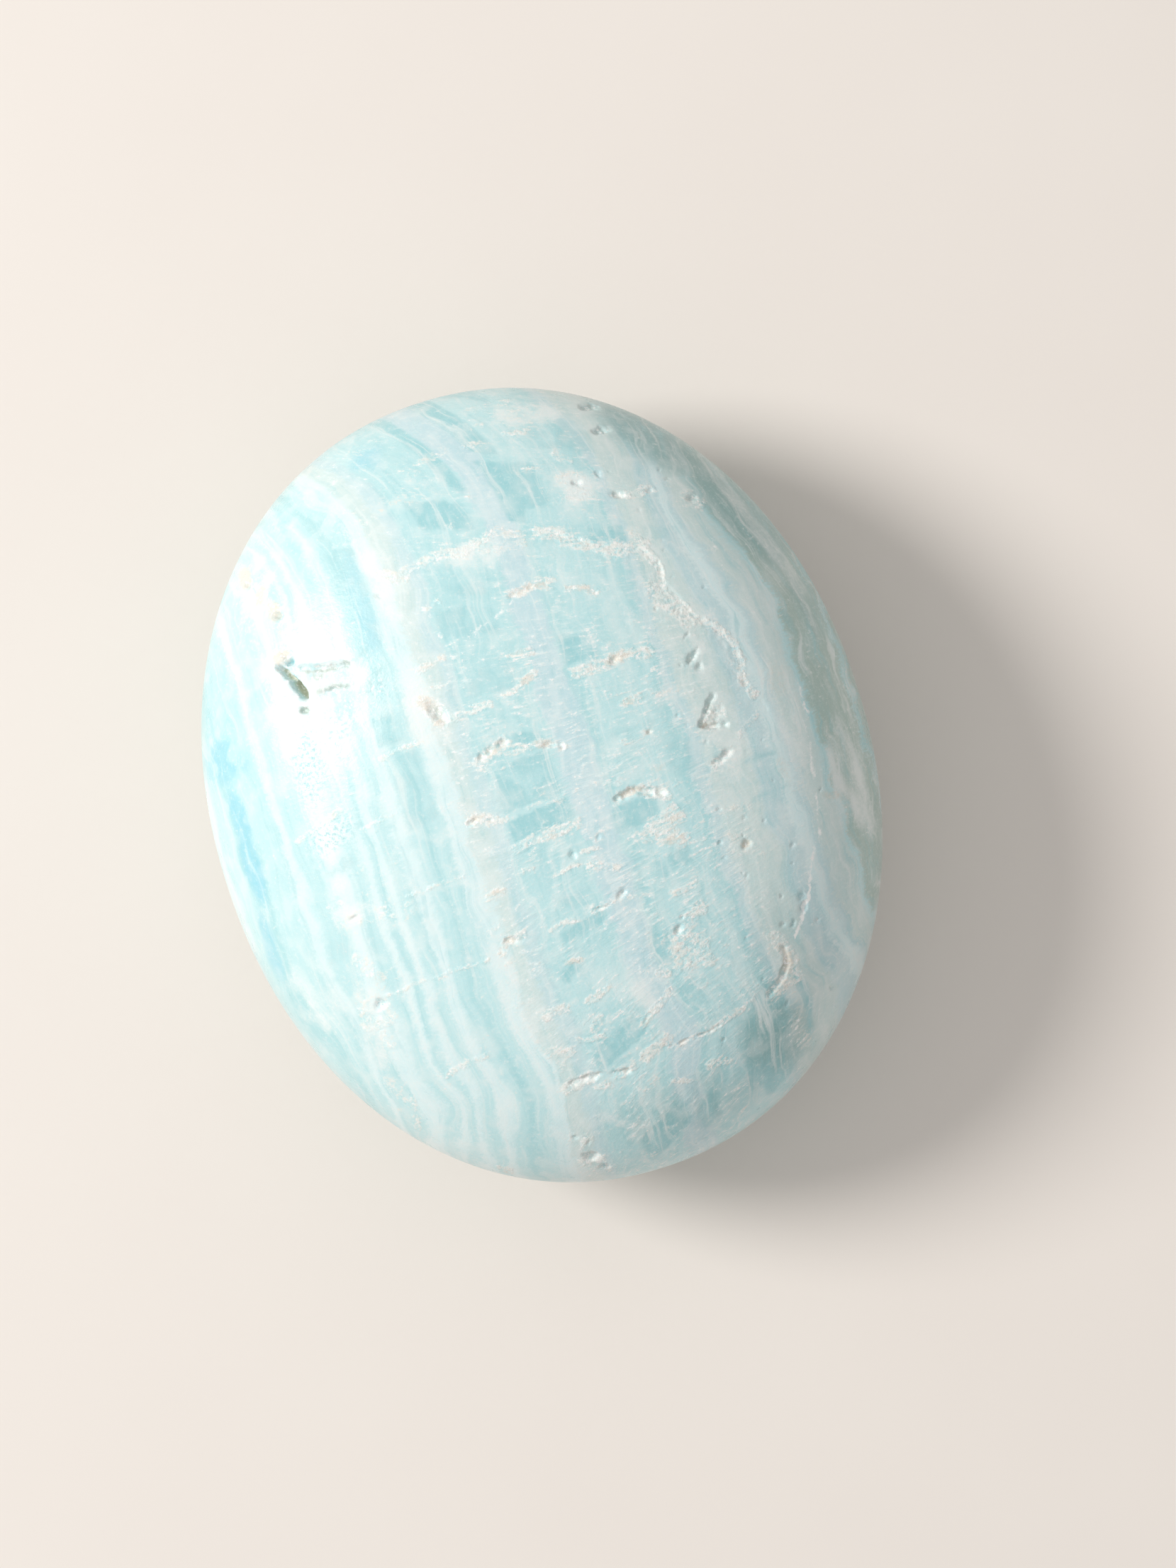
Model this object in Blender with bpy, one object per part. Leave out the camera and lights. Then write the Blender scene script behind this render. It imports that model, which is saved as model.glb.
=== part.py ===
"""A palm stone: one oval pebble of banded calcite, polished smooth but for the pits and ledges left open in it.

The stone lies on a small flat spot. X runs across it, Y along it and Z up, from the middle of that spot.
Lengths are in millimetres until the mesh is made.
"""

import math

import bmesh
import bpy
import numpy as np

MILLIMETRE = 0.001

# The whole stone
LENGTH = 48.0
WIDTH = 39.5
THICKNESS = 21.0
FLAT_DEPTH = 0.22          # how much the resting spot takes off the rounded underside
RIM_SHARE = 0.47           # height of the widest level, as a share of the thickness
OUTLINE_POWER = 2.09       # 2 is an ellipse, more is squarer
CROWN_POWER = 2.25         # the same for the rise of the dome from its rim
SWELL = 0.10               # height of the slow, hand-ground unevenness

HALF_LENGTH = LENGTH / 2
HALF_WIDTH = WIDTH / 2
RIM_HEIGHT = THICKNESS * RIM_SHARE
CROWN = THICKNESS - RIM_HEIGHT
KEEL = RIM_HEIGHT + FLAT_DEPTH

# Mesh: how long an edge may be on open polish, near a mark, in a mark and in a deep one
OPEN_EDGE = 1.90
NEAR_EDGE = 1.05
MARK_EDGE = 0.46
DEEP_EDGE = 0.22
NEAR_REACH = 0.6
MARK_REACH = 0.1
DEEP = 0.40
ROUNDS_OF_SPLITTING = 6
EVENING = 0.5              # how far each round moves a point towards the middle of its neighbours

# Open pits in the polished face: across, along, half length, half width, turn in degrees, depth
PITS = {
    "slit, upper part": (-12.15, 10.75, 0.75, 0.26, -62, 0.95),
    "slit, lower part": (-11.68, 9.75, 0.75, 0.34, -72, 1.25),
    "pocket under the crystal": (-11.58, 11.30, 0.26, 0.20, 30, 0.70),
    "hole below the slit": (-11.72, 8.33, 0.24, 0.22, 0, 0.45),
    "shoulder pit": (-11.62, 14.15, 0.36, 0.24, -20, 0.40),
    "high shoulder pit": (-12.75, 16.55, 0.36, 0.24, 50, 0.32),
    "hollow beside the pale band": (-4.35, 5.85, 0.75, 0.32, -58, 0.42),
    "three-cornered pit": (10.75, 0.75, 0.80, 0.60, 20, 0.16),
    "slanting pit": (10.65, 4.30, 0.42, 0.24, 40, 0.34),
    "pit below it": (10.90, 3.68, 0.26, 0.18, 30, 0.24),
    "long slanting pit": (10.55, -1.72, 0.72, 0.20, 20, 0.26),
    "beige pit": (10.28, -6.95, 0.30, 0.24, 20, 0.32),
    "crack pit": (12.45, -11.45, 0.30, 0.20, 60, 0.30),
    "crack pit above it": (12.50, -10.85, 0.24, 0.18, 60, 0.24),
    "end of the trench": (4.08, -2.10, 0.26, 0.20, 0, 0.28),
    "dark end of the trench": (5.80, -2.35, 0.34, 0.20, 25, 0.34),
    "lower right pit": (5.12, -10.45, 0.34, 0.20, 40, 0.32),
    "low middle pit": (2.55, -7.52, 0.36, 0.20, 30, 0.28),
    "beige spot pit": (6.32, 5.62, 0.28, 0.20, 10, 0.28),
    "upper rim pit": (9.55, 20.50, 0.55, 0.24, -12, 0.34),
    "second rim pit": (9.75, 18.85, 0.50, 0.22, -8, 0.34),
    "third rim pit": (9.45, 14.72, 0.50, 0.24, -25, 0.34),
    "upper pit": (7.42, 16.15, 0.32, 0.22, 0, 0.30),
    "right shoulder pit": (13.55, 13.40, 0.28, 0.24, 0, 0.24),
    "foot pit": (-3.95, -21.70, 0.50, 0.26, -20, 0.34),
    "low foot pit": (-3.40, -22.62, 0.34, 0.18, 0, 0.28),
    "left patch pit": (-12.85, -9.35, 0.42, 0.26, 35, 0.30),
}
PIT_RIM = 1.35             # a pit fades out this many half widths from its middle

# Long breaks: (half width, depth, (across, along) points)
GROOVES = {
    "groove out of the slit": (0.26, 0.42, ((-11.10, 10.72), (-10.20, 10.50), (-9.30, 10.18), (-8.55, 10.12))),
    "curved ledge": (0.34, 0.50, ((10.55, -13.40), (10.45, -14.35), (9.95, -15.10), (8.95, -15.75))),
    "three-cornered pit, upper side": (0.17, 0.32, ((9.92, 0.62), (10.50, 1.20), (11.05, 1.80))),
    "three-cornered pit, lower side": (0.19, 0.36, ((9.95, 0.55), (10.45, 0.30), (11.25, 0.12))),
    "trench": (0.24, 0.26, ((4.30, -2.08), (5.10, -1.95), (5.70, -2.30), (6.50, -2.55))),
    "foot break": (0.22, 0.24, ((-3.60, -17.15), (-2.60, -17.05), (-1.40, -17.40), (-0.30, -17.45))),
    "pale ridge break": (0.20, 0.16, ((-4.95, -8.45), (-4.50, -8.00), (-3.90, -8.20))),
    "middle break": (0.22, 0.20, ((-2.75, 2.65), (-1.30, 3.00))),
    "second middle break": (0.20, 0.20, ((0.40, 2.25), (1.30, 2.05), (1.90, 1.65))),
}

# Steps: the surface drops on the right of the line and rises back over the run. (drop, run, points)
STEPS = {
    "arc": (
        0.14, 1.1,
        ((4.60, 13.95), (6.20, 13.15), (7.30, 12.35), (8.40, 11.90), (9.80, 11.40), (10.45, 10.20), (10.55, 9.00),
         (11.30, 7.20), (12.80, 5.20), (13.35, 3.80), (13.15, 2.40), (13.60, 1.10)),
    ),
    "upper break of the slit": (0.22, 1.0, ((-11.20, 10.95), (-9.60, 10.45), (-8.40, 10.35))),
    "lower break of the slit": (0.26, 1.2, ((-11.20, 9.35), (-9.80, 9.05), (-8.30, 8.95))),
}
STEP_EDGE = 0.30           # width of the steep part of a step

# The chip in the left rim: middle, radius and depth
CHIP_ACROSS = -13.15
CHIP_ALONG = 17.80
CHIP_RADIUS = 0.80
CHIP_DEPTH = 0.30
CHIP_RIM = 1.2             # it fades out this many radii from its middle

# The crystal standing in the top of the slit: middle, radius and height
CRYSTAL_ACROSS = -12.10
CRYSTAL_ALONG = 11.62
CRYSTAL_RADIUS = 0.42
CRYSTAL_HEIGHT = 0.12


def smooth(value):
    """0 below 0 and 1 above 1, with a soft start and end."""
    t = np.clip(value, 0.0, 1.0)
    return t * t * (3.0 - 2.0 * t)


def polished(directions):
    """Points of the polished stone, one for each direction from its middle, before the flat spot is cut."""
    rise = np.where(directions[:, 2] > 0, CROWN, KEEL)
    outline = np.abs(directions[:, 0]) ** OUTLINE_POWER + np.abs(directions[:, 1]) ** OUTLINE_POWER
    total = outline ** (CROWN_POWER / OUTLINE_POWER) + np.abs(directions[:, 2]) ** CROWN_POWER
    reach = total ** (-1.0 / CROWN_POWER)
    points = directions * reach[:, None]
    return points * np.stack([np.full(len(points), HALF_WIDTH), np.full(len(points), HALF_LENGTH), rise], axis=1)


def outward(points):
    """The direction straight out of the polished surface at each point."""
    x, y, z = points.T
    rise = np.where(z > 0, CROWN, KEEL)
    across, along, up = np.abs(x / HALF_WIDTH), np.abs(y / HALF_LENGTH), np.abs(z / rise)
    outline = np.maximum(across ** OUTLINE_POWER + along ** OUTLINE_POWER, 1e-9)
    spread = outline ** (CROWN_POWER / OUTLINE_POWER - 1.0)
    slope = np.stack(
        [
            spread * across ** (OUTLINE_POWER - 1) * np.sign(x) / HALF_WIDTH,
            spread * along ** (OUTLINE_POWER - 1) * np.sign(y) / HALF_LENGTH,
            up ** (CROWN_POWER - 1) * np.sign(z) / rise,
        ],
        axis=1,
    )
    return slope / np.linalg.norm(slope, axis=1, keepdims=True)


def swell(points):
    """Slow unevenness of a stone ground by hand, in millimetres."""
    x, y, z = (points / HALF_LENGTH).T
    waves = np.sin(2.6 * x + 1.7 * y + 0.4) + np.sin(3.3 * y - 2.1 * z + 1.9) + np.sin(3.9 * x - 1.2 * y + 4.1)
    off_rim = np.abs(points[:, 2]) / CROWN
    return SWELL * off_rim * waves / 3.0


def pit_reach(x, y, pit):
    """How far out in a pit each place is: 0 in its middle, 1 at its half length or half width."""
    across, along, half_length, half_width, turn, _ = pit
    c, s = math.cos(math.radians(turn)), math.sin(math.radians(turn))
    lengthwise = (x - across) * c + (y - along) * s
    sideways = (y - along) * c - (x - across) * s
    return np.hypot(lengthwise / half_length, sideways / half_width)


def line_reach(x, y, points):
    """Distance of each place from a line of points, and which side it is on: above 0 on the line's right."""
    nearest = np.full(len(x), np.inf)
    side = np.zeros(len(x))
    for (x0, y0), (x1, y1) in zip(points, points[1:]):
        run, rise = x1 - x0, y1 - y0
        share = np.clip(((x - x0) * run + (y - y0) * rise) / (run * run + rise * rise), 0.0, 1.0)
        away_x, away_y = x - x0 - share * run, y - y0 - share * rise
        distance = np.hypot(away_x, away_y)
        closer = distance < nearest
        nearest = np.where(closer, distance, nearest)
        side = np.where(closer, np.sign(away_x * rise - away_y * run), side)
    return nearest, side


def end_fade(x, y, points, length):
    """1 along a line of points, falling to 0 at its two ends."""
    first = np.hypot(x - points[0][0], y - points[0][1])
    last = np.hypot(x - points[-1][0], y - points[-1][1])
    return smooth(first / length) * smooth(last / length)


def chip_distance(points):
    """Distance of each point from the middle of the chip in the rim."""
    return np.linalg.norm(points - np.array([CHIP_ACROSS, CHIP_ALONG, 0.0]), axis=1)


def relief(points):
    """How far the marks lower the upper face at each point, in millimetres."""
    x, y, z = points.T
    depth = np.zeros(len(points))
    for pit in PITS.values():
        depth = np.maximum(depth, pit[5] * smooth(PIT_RIM - pit_reach(x, y, pit)))
    for half_width, groove_depth, line in GROOVES.values():
        distance, _ = line_reach(x, y, line)
        depth = np.maximum(depth, groove_depth * smooth(PIT_RIM - distance / half_width))
    for drop, run, line in STEPS.values():
        distance, side = line_reach(x, y, line)
        edge = smooth(0.5 + side * distance / STEP_EDGE)
        back = np.exp(-distance / run)
        depth = np.maximum(depth, drop * edge * back * end_fade(x, y, line, run))
    bump = np.hypot(x - CRYSTAL_ACROSS, y - CRYSTAL_ALONG) / CRYSTAL_RADIUS
    depth -= CRYSTAL_HEIGHT * smooth(1.0 - bump)
    depth = np.where(z > 0, depth, 0.0)
    return depth + CHIP_DEPTH * smooth(CHIP_RIM - chip_distance(points) / CHIP_RADIUS)


def mark_distances(points, shallowest):
    """Distance of each point from the edge of the nearest mark at least as deep as the shallowest, in millimetres."""
    x, y, z = points.T
    nearest = np.full(len(points), np.inf)
    for pit in PITS.values():
        if pit[5] >= shallowest:
            nearest = np.minimum(nearest, (pit_reach(x, y, pit) - 1.0) * pit[3])
    for half_width, depth, line in GROOVES.values():
        if depth >= shallowest:
            nearest = np.minimum(nearest, line_reach(x, y, line)[0] - half_width)
    for drop, _, line in STEPS.values():
        if drop >= shallowest:
            nearest = np.minimum(nearest, line_reach(x, y, line)[0] - STEP_EDGE / 2)
    nearest = np.where(z > 0, nearest, np.inf)
    if CHIP_DEPTH >= shallowest:
        nearest = np.minimum(nearest, chip_distance(points) - CHIP_RADIUS)
    return nearest


def wanted_edge(points):
    """How long an edge may be at each point."""
    distance = mark_distances(points, 0.0)
    wanted = np.where(distance < MARK_REACH, MARK_EDGE, np.where(distance < NEAR_REACH, NEAR_EDGE, OPEN_EDGE))
    return np.where(mark_distances(points, DEEP) < MARK_REACH, DEEP_EDGE, wanted)


def split_where_fine(bm):
    """Splits the edges that are too long for the marks near them, and keeps the points on the unit sphere."""
    for _ in range(ROUNDS_OF_SPLITTING):
        edges = list(bm.edges)
        starts = polished(np.array([edge.verts[0].co for edge in edges]))
        ends = polished(np.array([edge.verts[1].co for edge in edges]))
        lengths = np.linalg.norm(ends - starts, axis=1)
        too_long = lengths > wanted_edge((starts + ends) / 2)
        if not too_long.any():
            break
        chosen = [edge for edge, is_long in zip(edges, too_long) if is_long]
        bmesh.ops.subdivide_edges(bm, edges=chosen, cuts=1)
        bmesh.ops.triangulate(bm, faces=bm.faces[:])
        bmesh.ops.beautify_fill(bm, faces=bm.faces[:], edges=bm.edges[:])
        bmesh.ops.smooth_vert(bm, verts=bm.verts[:], factor=EVENING, use_axis_x=True, use_axis_y=True, use_axis_z=True)
        for vert in bm.verts:
            vert.co.normalize()


def shape_stone(bm):
    """Moves the points from the unit sphere to the stone: polished form, swell, marks and the flat to rest on."""
    directions = np.array([vert.co for vert in bm.verts], dtype=float)
    surface = polished(directions)
    lowered = relief(surface) - swell(surface)
    points = surface - outward(surface) * lowered[:, None]
    points[:, 2] = np.maximum(points[:, 2] + RIM_HEIGHT, 0.0)
    for vert, point in zip(bm.verts, points):
        vert.co = point * MILLIMETRE


def stone_material():
    """Polished pale blue-green calcite."""
    material = bpy.data.materials.new("banded_calcite")
    material.use_nodes = True
    shader = material.node_tree.nodes["Principled BSDF"]
    shader.inputs["Base Color"].default_value = (0.50, 0.76, 0.76, 1.0)
    shader.inputs["Roughness"].default_value = 0.32
    shader.inputs["Metallic"].default_value = 0.0
    return material


def make_stone():
    """The stone as one closed mesh."""
    bm = bmesh.new()
    bmesh.ops.create_icosphere(bm, subdivisions=5, radius=1.0)
    split_where_fine(bm)
    shape_stone(bm)
    bmesh.ops.recalc_face_normals(bm, faces=bm.faces[:])
    mesh = bpy.data.meshes.new("palm_stone")
    bm.to_mesh(mesh)
    bm.free()
    mesh.shade_smooth()
    stone = bpy.data.objects.new("palm_stone", mesh)
    stone.data.materials.append(stone_material())
    bpy.context.scene.collection.objects.link(stone)


def main():
    for old in list(bpy.data.objects):
        bpy.data.objects.remove(old)
    make_stone()


main()
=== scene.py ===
"""The looks of a palm stone: banded blue-green calcite, polished, lying on a plain pale floor.

One fine mesh stands for the solid. It follows the same form and has the same pits, breaks and
steps, with the smaller ones added, and it carries the fields that its material reads. X runs
across the stone, Y along it and Z up. Lengths are in millimetres until a mesh, a light or the
camera is placed.
"""

import math

import bmesh
import bpy
import numpy as np
from mathutils import Matrix, Vector, noise


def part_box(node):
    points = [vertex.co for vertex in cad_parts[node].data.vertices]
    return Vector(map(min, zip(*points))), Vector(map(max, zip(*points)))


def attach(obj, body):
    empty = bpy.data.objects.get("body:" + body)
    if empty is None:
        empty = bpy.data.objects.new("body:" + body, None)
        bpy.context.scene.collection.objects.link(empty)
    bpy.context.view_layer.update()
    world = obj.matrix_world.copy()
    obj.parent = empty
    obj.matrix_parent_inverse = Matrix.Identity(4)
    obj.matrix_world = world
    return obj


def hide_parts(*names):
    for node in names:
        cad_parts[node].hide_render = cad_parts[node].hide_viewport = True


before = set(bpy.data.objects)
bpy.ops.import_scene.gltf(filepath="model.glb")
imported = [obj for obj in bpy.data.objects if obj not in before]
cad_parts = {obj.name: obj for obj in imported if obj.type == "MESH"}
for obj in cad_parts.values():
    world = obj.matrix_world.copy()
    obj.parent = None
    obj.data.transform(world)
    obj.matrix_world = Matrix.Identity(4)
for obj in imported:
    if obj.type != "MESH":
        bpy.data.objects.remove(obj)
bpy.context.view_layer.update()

MILLIMETRE = 0.001
NODE = "palm_stone"

# The whole stone, as the solid has it
solid_low, solid_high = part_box(NODE)
WIDTH, LENGTH, THICKNESS = ((high - low) / MILLIMETRE for low, high in zip(solid_low, solid_high))
FLAT_DEPTH = 0.22
RIM_SHARE = 0.47
OUTLINE_POWER = 2.09
CROWN_POWER = 2.25
SWELL = 0.10
SWELL_WAVES = (            # (across, along, up, start)
    (2.6, 1.7, 0.0, 0.4),
    (0.0, 3.3, -2.1, 1.9),
    (3.9, -1.2, 0.0, 4.1),
)

HALF_LENGTH = LENGTH / 2
HALF_WIDTH = WIDTH / 2
RIM_HEIGHT = THICKNESS * RIM_SHARE
CROWN = THICKNESS - RIM_HEIGHT
KEEL = RIM_HEIGHT + FLAT_DEPTH

# Mesh: how long an edge may be near a mark, in crystal, in a mark and in a deep one
SPHERE_CUTS = 7
NEAR_EDGE = 0.30
CRYSTAL_EDGE = 0.18
MARK_EDGE = 0.12
DEEP_EDGE = 0.085
NEAR_REACH = 0.35
MARK_REACH = 0.08
DEEP = 0.40
ROUGH_START = 0.1
ROUNDS_OF_SPLITTING = 4
EVENING = 0.5

# The bands lie along the stone and the crystal fibres across it, fanned out towards its two ends
FIBRE_LEAN = 0.05          # rise of the fibres across the middle of the stone
FIBRE_FAN = 0.024          # how fast that rise changes along the stone
TOP_BEND = 4.0             # how far the bands swing across at the upper end
TOP_BEND_START = 14.5
TOP_BEND_LENGTH = 9.5
TOP_BEND_EASE = 0.03       # how much less they swing for each millimetre to the right
LOW_KINK = -0.8            # a small kink in the bands near the lower end
LOW_KINK_PLACE = -16.5
LOW_KINK_REACH = 2.4
FLANK_SQUEEZE = -2.4       # the bands of the left flank close up towards the lower end
FLANK_SQUEEZE_START = (-13.5, -6.0)
FLANK_SQUEEZE_LENGTH = (3.0, 9.0)
SHOULDER_SQUEEZE = 2.4     # and those of the right shoulder towards the upper end
SHOULDER_SQUEEZE_START = (8.5, 5.0)
SHOULDER_SQUEEZE_LENGTH = (5.0, 10.0)
SHEET_TILT = 0.30          # how far a band moves across for each millimetre down
FIBRE_TILT = 0.15          # and how far a fibre moves along
FLANK_START = 12.0         # the right flank's clouds are drawn out along the bands, fully after this length
FLANK_LENGTH = 3.0

# Open pits: across, along, half length, half width, turn in degrees, depth
PITS = {
    "slit, upper part": (-12.15, 10.75, 0.75, 0.22, -58, 0.95),
    "slit, lower part": (-11.68, 9.75, 0.75, 0.29, -74, 1.25),
    "pocket under the crystal": (-11.68, 11.24, 0.24, 0.15, 30, 0.45),
    "hole below the slit": (-11.72, 8.33, 0.24, 0.22, 0, 0.45),
    "shoulder pit": (-11.62, 14.15, 0.36, 0.24, -20, 0.4),
    "high shoulder pit": (-12.75, 16.55, 0.36, 0.24, 50, 0.32),
    "hollow beside the pale band": (-4.35, 5.85, 0.75, 0.32, -58, 0.42),
    "three-cornered pit": (10.75, 0.75, 0.8, 0.6, 20, 0.16),
    "slanting pit": (10.65, 4.3, 0.42, 0.24, 40, 0.34),
    "pit below it": (10.9, 3.68, 0.26, 0.18, 30, 0.24),
    "long slanting pit": (10.55, -1.72, 0.72, 0.2, 20, 0.26),
    "beige pit": (10.28, -6.95, 0.3, 0.24, 20, 0.32),
    "crack pit": (12.45, -11.45, 0.3, 0.2, 60, 0.3),
    "crack pit above it": (12.5, -10.85, 0.24, 0.18, 60, 0.24),
    "end of the trench": (4.08, -2.1, 0.26, 0.2, 0, 0.28),
    "dark end of the trench": (5.8, -2.35, 0.34, 0.2, 25, 0.34),
    "lower right pit": (5.12, -10.45, 0.34, 0.2, 40, 0.32),
    "low middle pit": (2.55, -7.52, 0.36, 0.2, 30, 0.28),
    "beige spot pit": (6.32, 5.62, 0.28, 0.2, 10, 0.28),
    "upper rim pit": (9.55, 20.5, 0.55, 0.24, -12, 0.34),
    "second rim pit": (9.75, 18.85, 0.5, 0.22, -8, 0.34),
    "third rim pit": (9.45, 14.72, 0.5, 0.24, -25, 0.34),
    "upper pit": (7.42, 16.15, 0.32, 0.22, 0, 0.3),
    "right shoulder pit": (13.55, 13.4, 0.28, 0.24, 0, 0.24),
    "foot pit": (-3.95, -21.7, 0.5, 0.26, -20, 0.34),
    "low foot pit": (-3.4, -22.62, 0.34, 0.18, 0, 0.28),
    "left patch pit": (-12.85, -9.35, 0.42, 0.26, 35, 0.3),
    "small left pit": (-12.65, -4.1, 0.3, 0.14, 20, 0.16),
    "small dark line": (-5.5, 13.28, 0.26, 0.07, -18, 0.2),
    "pit over the small chip": (0.55, -4.5, 0.16, 0.24, 10, 0.22),
    "spot in the right half": (6.88, 0.98, 0.14, 0.12, 0, 0.16),
    "small dot": (5.42, -9.8, 0.12, 0.1, 0, 0.18),
    "white chip": (2.25, -3.88, 0.24, 0.16, 60, 0.12),
    "pit by the ledge": (10.62, 7.15, 0.3, 0.16, -35, 0.18),
    "slanting scratch": (10.7, 5.65, 0.34, 0.09, 30, 0.14),
    "dot on the flank": (15.42, -5.22, 0.14, 0.07, 10, 0.16),
    "rough dot on the flank": (16.1, -5.85, 0.2, 0.14, -30, 0.1),
    "foot crystal pit": (-4.45, -20.3, 0.18, 0.12, 0, 0.16),
    "second foot crystal pit": (-3.8, -20.85, 0.16, 0.12, 0, 0.14),
    "fourth rim pit": (11.3, 14.4, 0.26, 0.12, -20, 0.14),
    "pit in the upper white": (8.75, 16.3, 0.14, 0.24, 10, 0.14),
}
SHALLOW = 0.30             # breaks no deeper than this are open in places only
OPEN_PIT = 0.42            # pits no deeper than this are part filled by crystal,
PART_FILLED = 0.62         # which leaves this share of their depth
PIT_RIM = 1.35             # a pit fades out this many half widths from its middle

# Long breaks: (half width, depth, (across, along) points)
GROOVES = {
    "groove out of the slit": (0.17, 0.34, ((-11.2, 10.75), (-10.2, 10.5), (-9.3, 10.18), (-8.6, 10.1))),
    "curved ledge": (0.2, 0.32, ((10.55, -13.4), (10.45, -14.35), (9.95, -15.1), (8.95, -15.75))),
    "three-cornered pit, upper side": (0.17, 0.32, ((9.92, 0.62), (10.5, 1.2), (11.05, 1.8))),
    "three-cornered pit, lower side": (0.19, 0.36, ((9.95, 0.55), (10.45, 0.3), (11.25, 0.12))),
    "trench": (0.24, 0.26, ((4.3, -2.08), (5.1, -1.95), (5.7, -2.3), (6.5, -2.55))),
    "foot break": (0.18, 0.14, ((-3.6, -17.15), (-2.6, -17.05), (-1.4, -17.4), (-0.3, -17.45))),
    "pale ridge break": (0.2, 0.16, ((-4.95, -8.45), (-4.5, -8.0), (-3.9, -8.2))),
    "middle break": (0.22, 0.2, ((-2.75, 2.65), (-1.3, 3.0))),
    "second middle break": (0.2, 0.2, ((0.4, 2.25), (1.3, 2.05), (1.9, 1.65))),
    "pale ridge dash": (0.12, 0.12, ((-4.6, -0.88), (-4.05, -0.78), (-3.4, -1.0))),
    "low dash": (0.1, 0.12, ((0.7, -7.85), (1.7, -7.8), (3.0, -7.82))),
    "slanted dash": (0.1, 0.14, ((1.35, -15.05), (1.85, -14.65))),
    "fine low break": (0.09, 0.1, ((2.6, -16.85), (4.0, -16.72), (5.6, -16.5))),
    "dash over the foot": (0.1, 0.12, ((5.0, -17.72), (5.65, -17.48))),
    "upper beige break": (0.16, 0.12, ((1.65, 10.95), (2.6, 11.0), (4.2, 11.1))),
    "upper right dash": (0.09, 0.1, ((4.9, 10.4), (5.8, 10.1), (6.45, 9.5))),
}

# Steps: the surface drops on the right of the line and rises back over the run. (drop, run, points)
STEPS = {
    "arc": (
        0.08, 1.1,
        ((4.6, 13.95), (6.2, 13.15), (7.3, 12.35), (8.4, 11.9), (9.8, 11.4), (10.45, 10.2), (10.55, 9.0),
         (11.3, 7.2), (12.8, 5.2), (13.35, 3.8), (13.15, 2.4), (13.6, 1.1)),
    ),
    "upper break of the slit": (0.22, 1.0, ((-11.2, 10.95), (-9.6, 10.45), (-8.4, 10.35))),
    "lower break of the slit": (0.26, 1.2, ((-11.2, 9.35), (-9.8, 9.05), (-8.3, 8.95))),
}
STEP_EDGE = 0.30           # width of the steep part of a step
OPEN_ALWAYS = 0.35         # share of a deep break's depth that is open all along it

# The chip in the left rim
CHIP_ACROSS = -13.15
CHIP_ALONG = 17.80
CHIP_RADIUS = 0.80
CHIP_DEPTH = 0.30
CHIP_RIM = 1.2

# The crystal standing in the top of the slit
CRYSTAL_ACROSS = -12.10
CRYSTAL_ALONG = 11.62
CRYSTAL_RADIUS = 0.42
CRYSTAL_HEIGHT = 0.12

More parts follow.
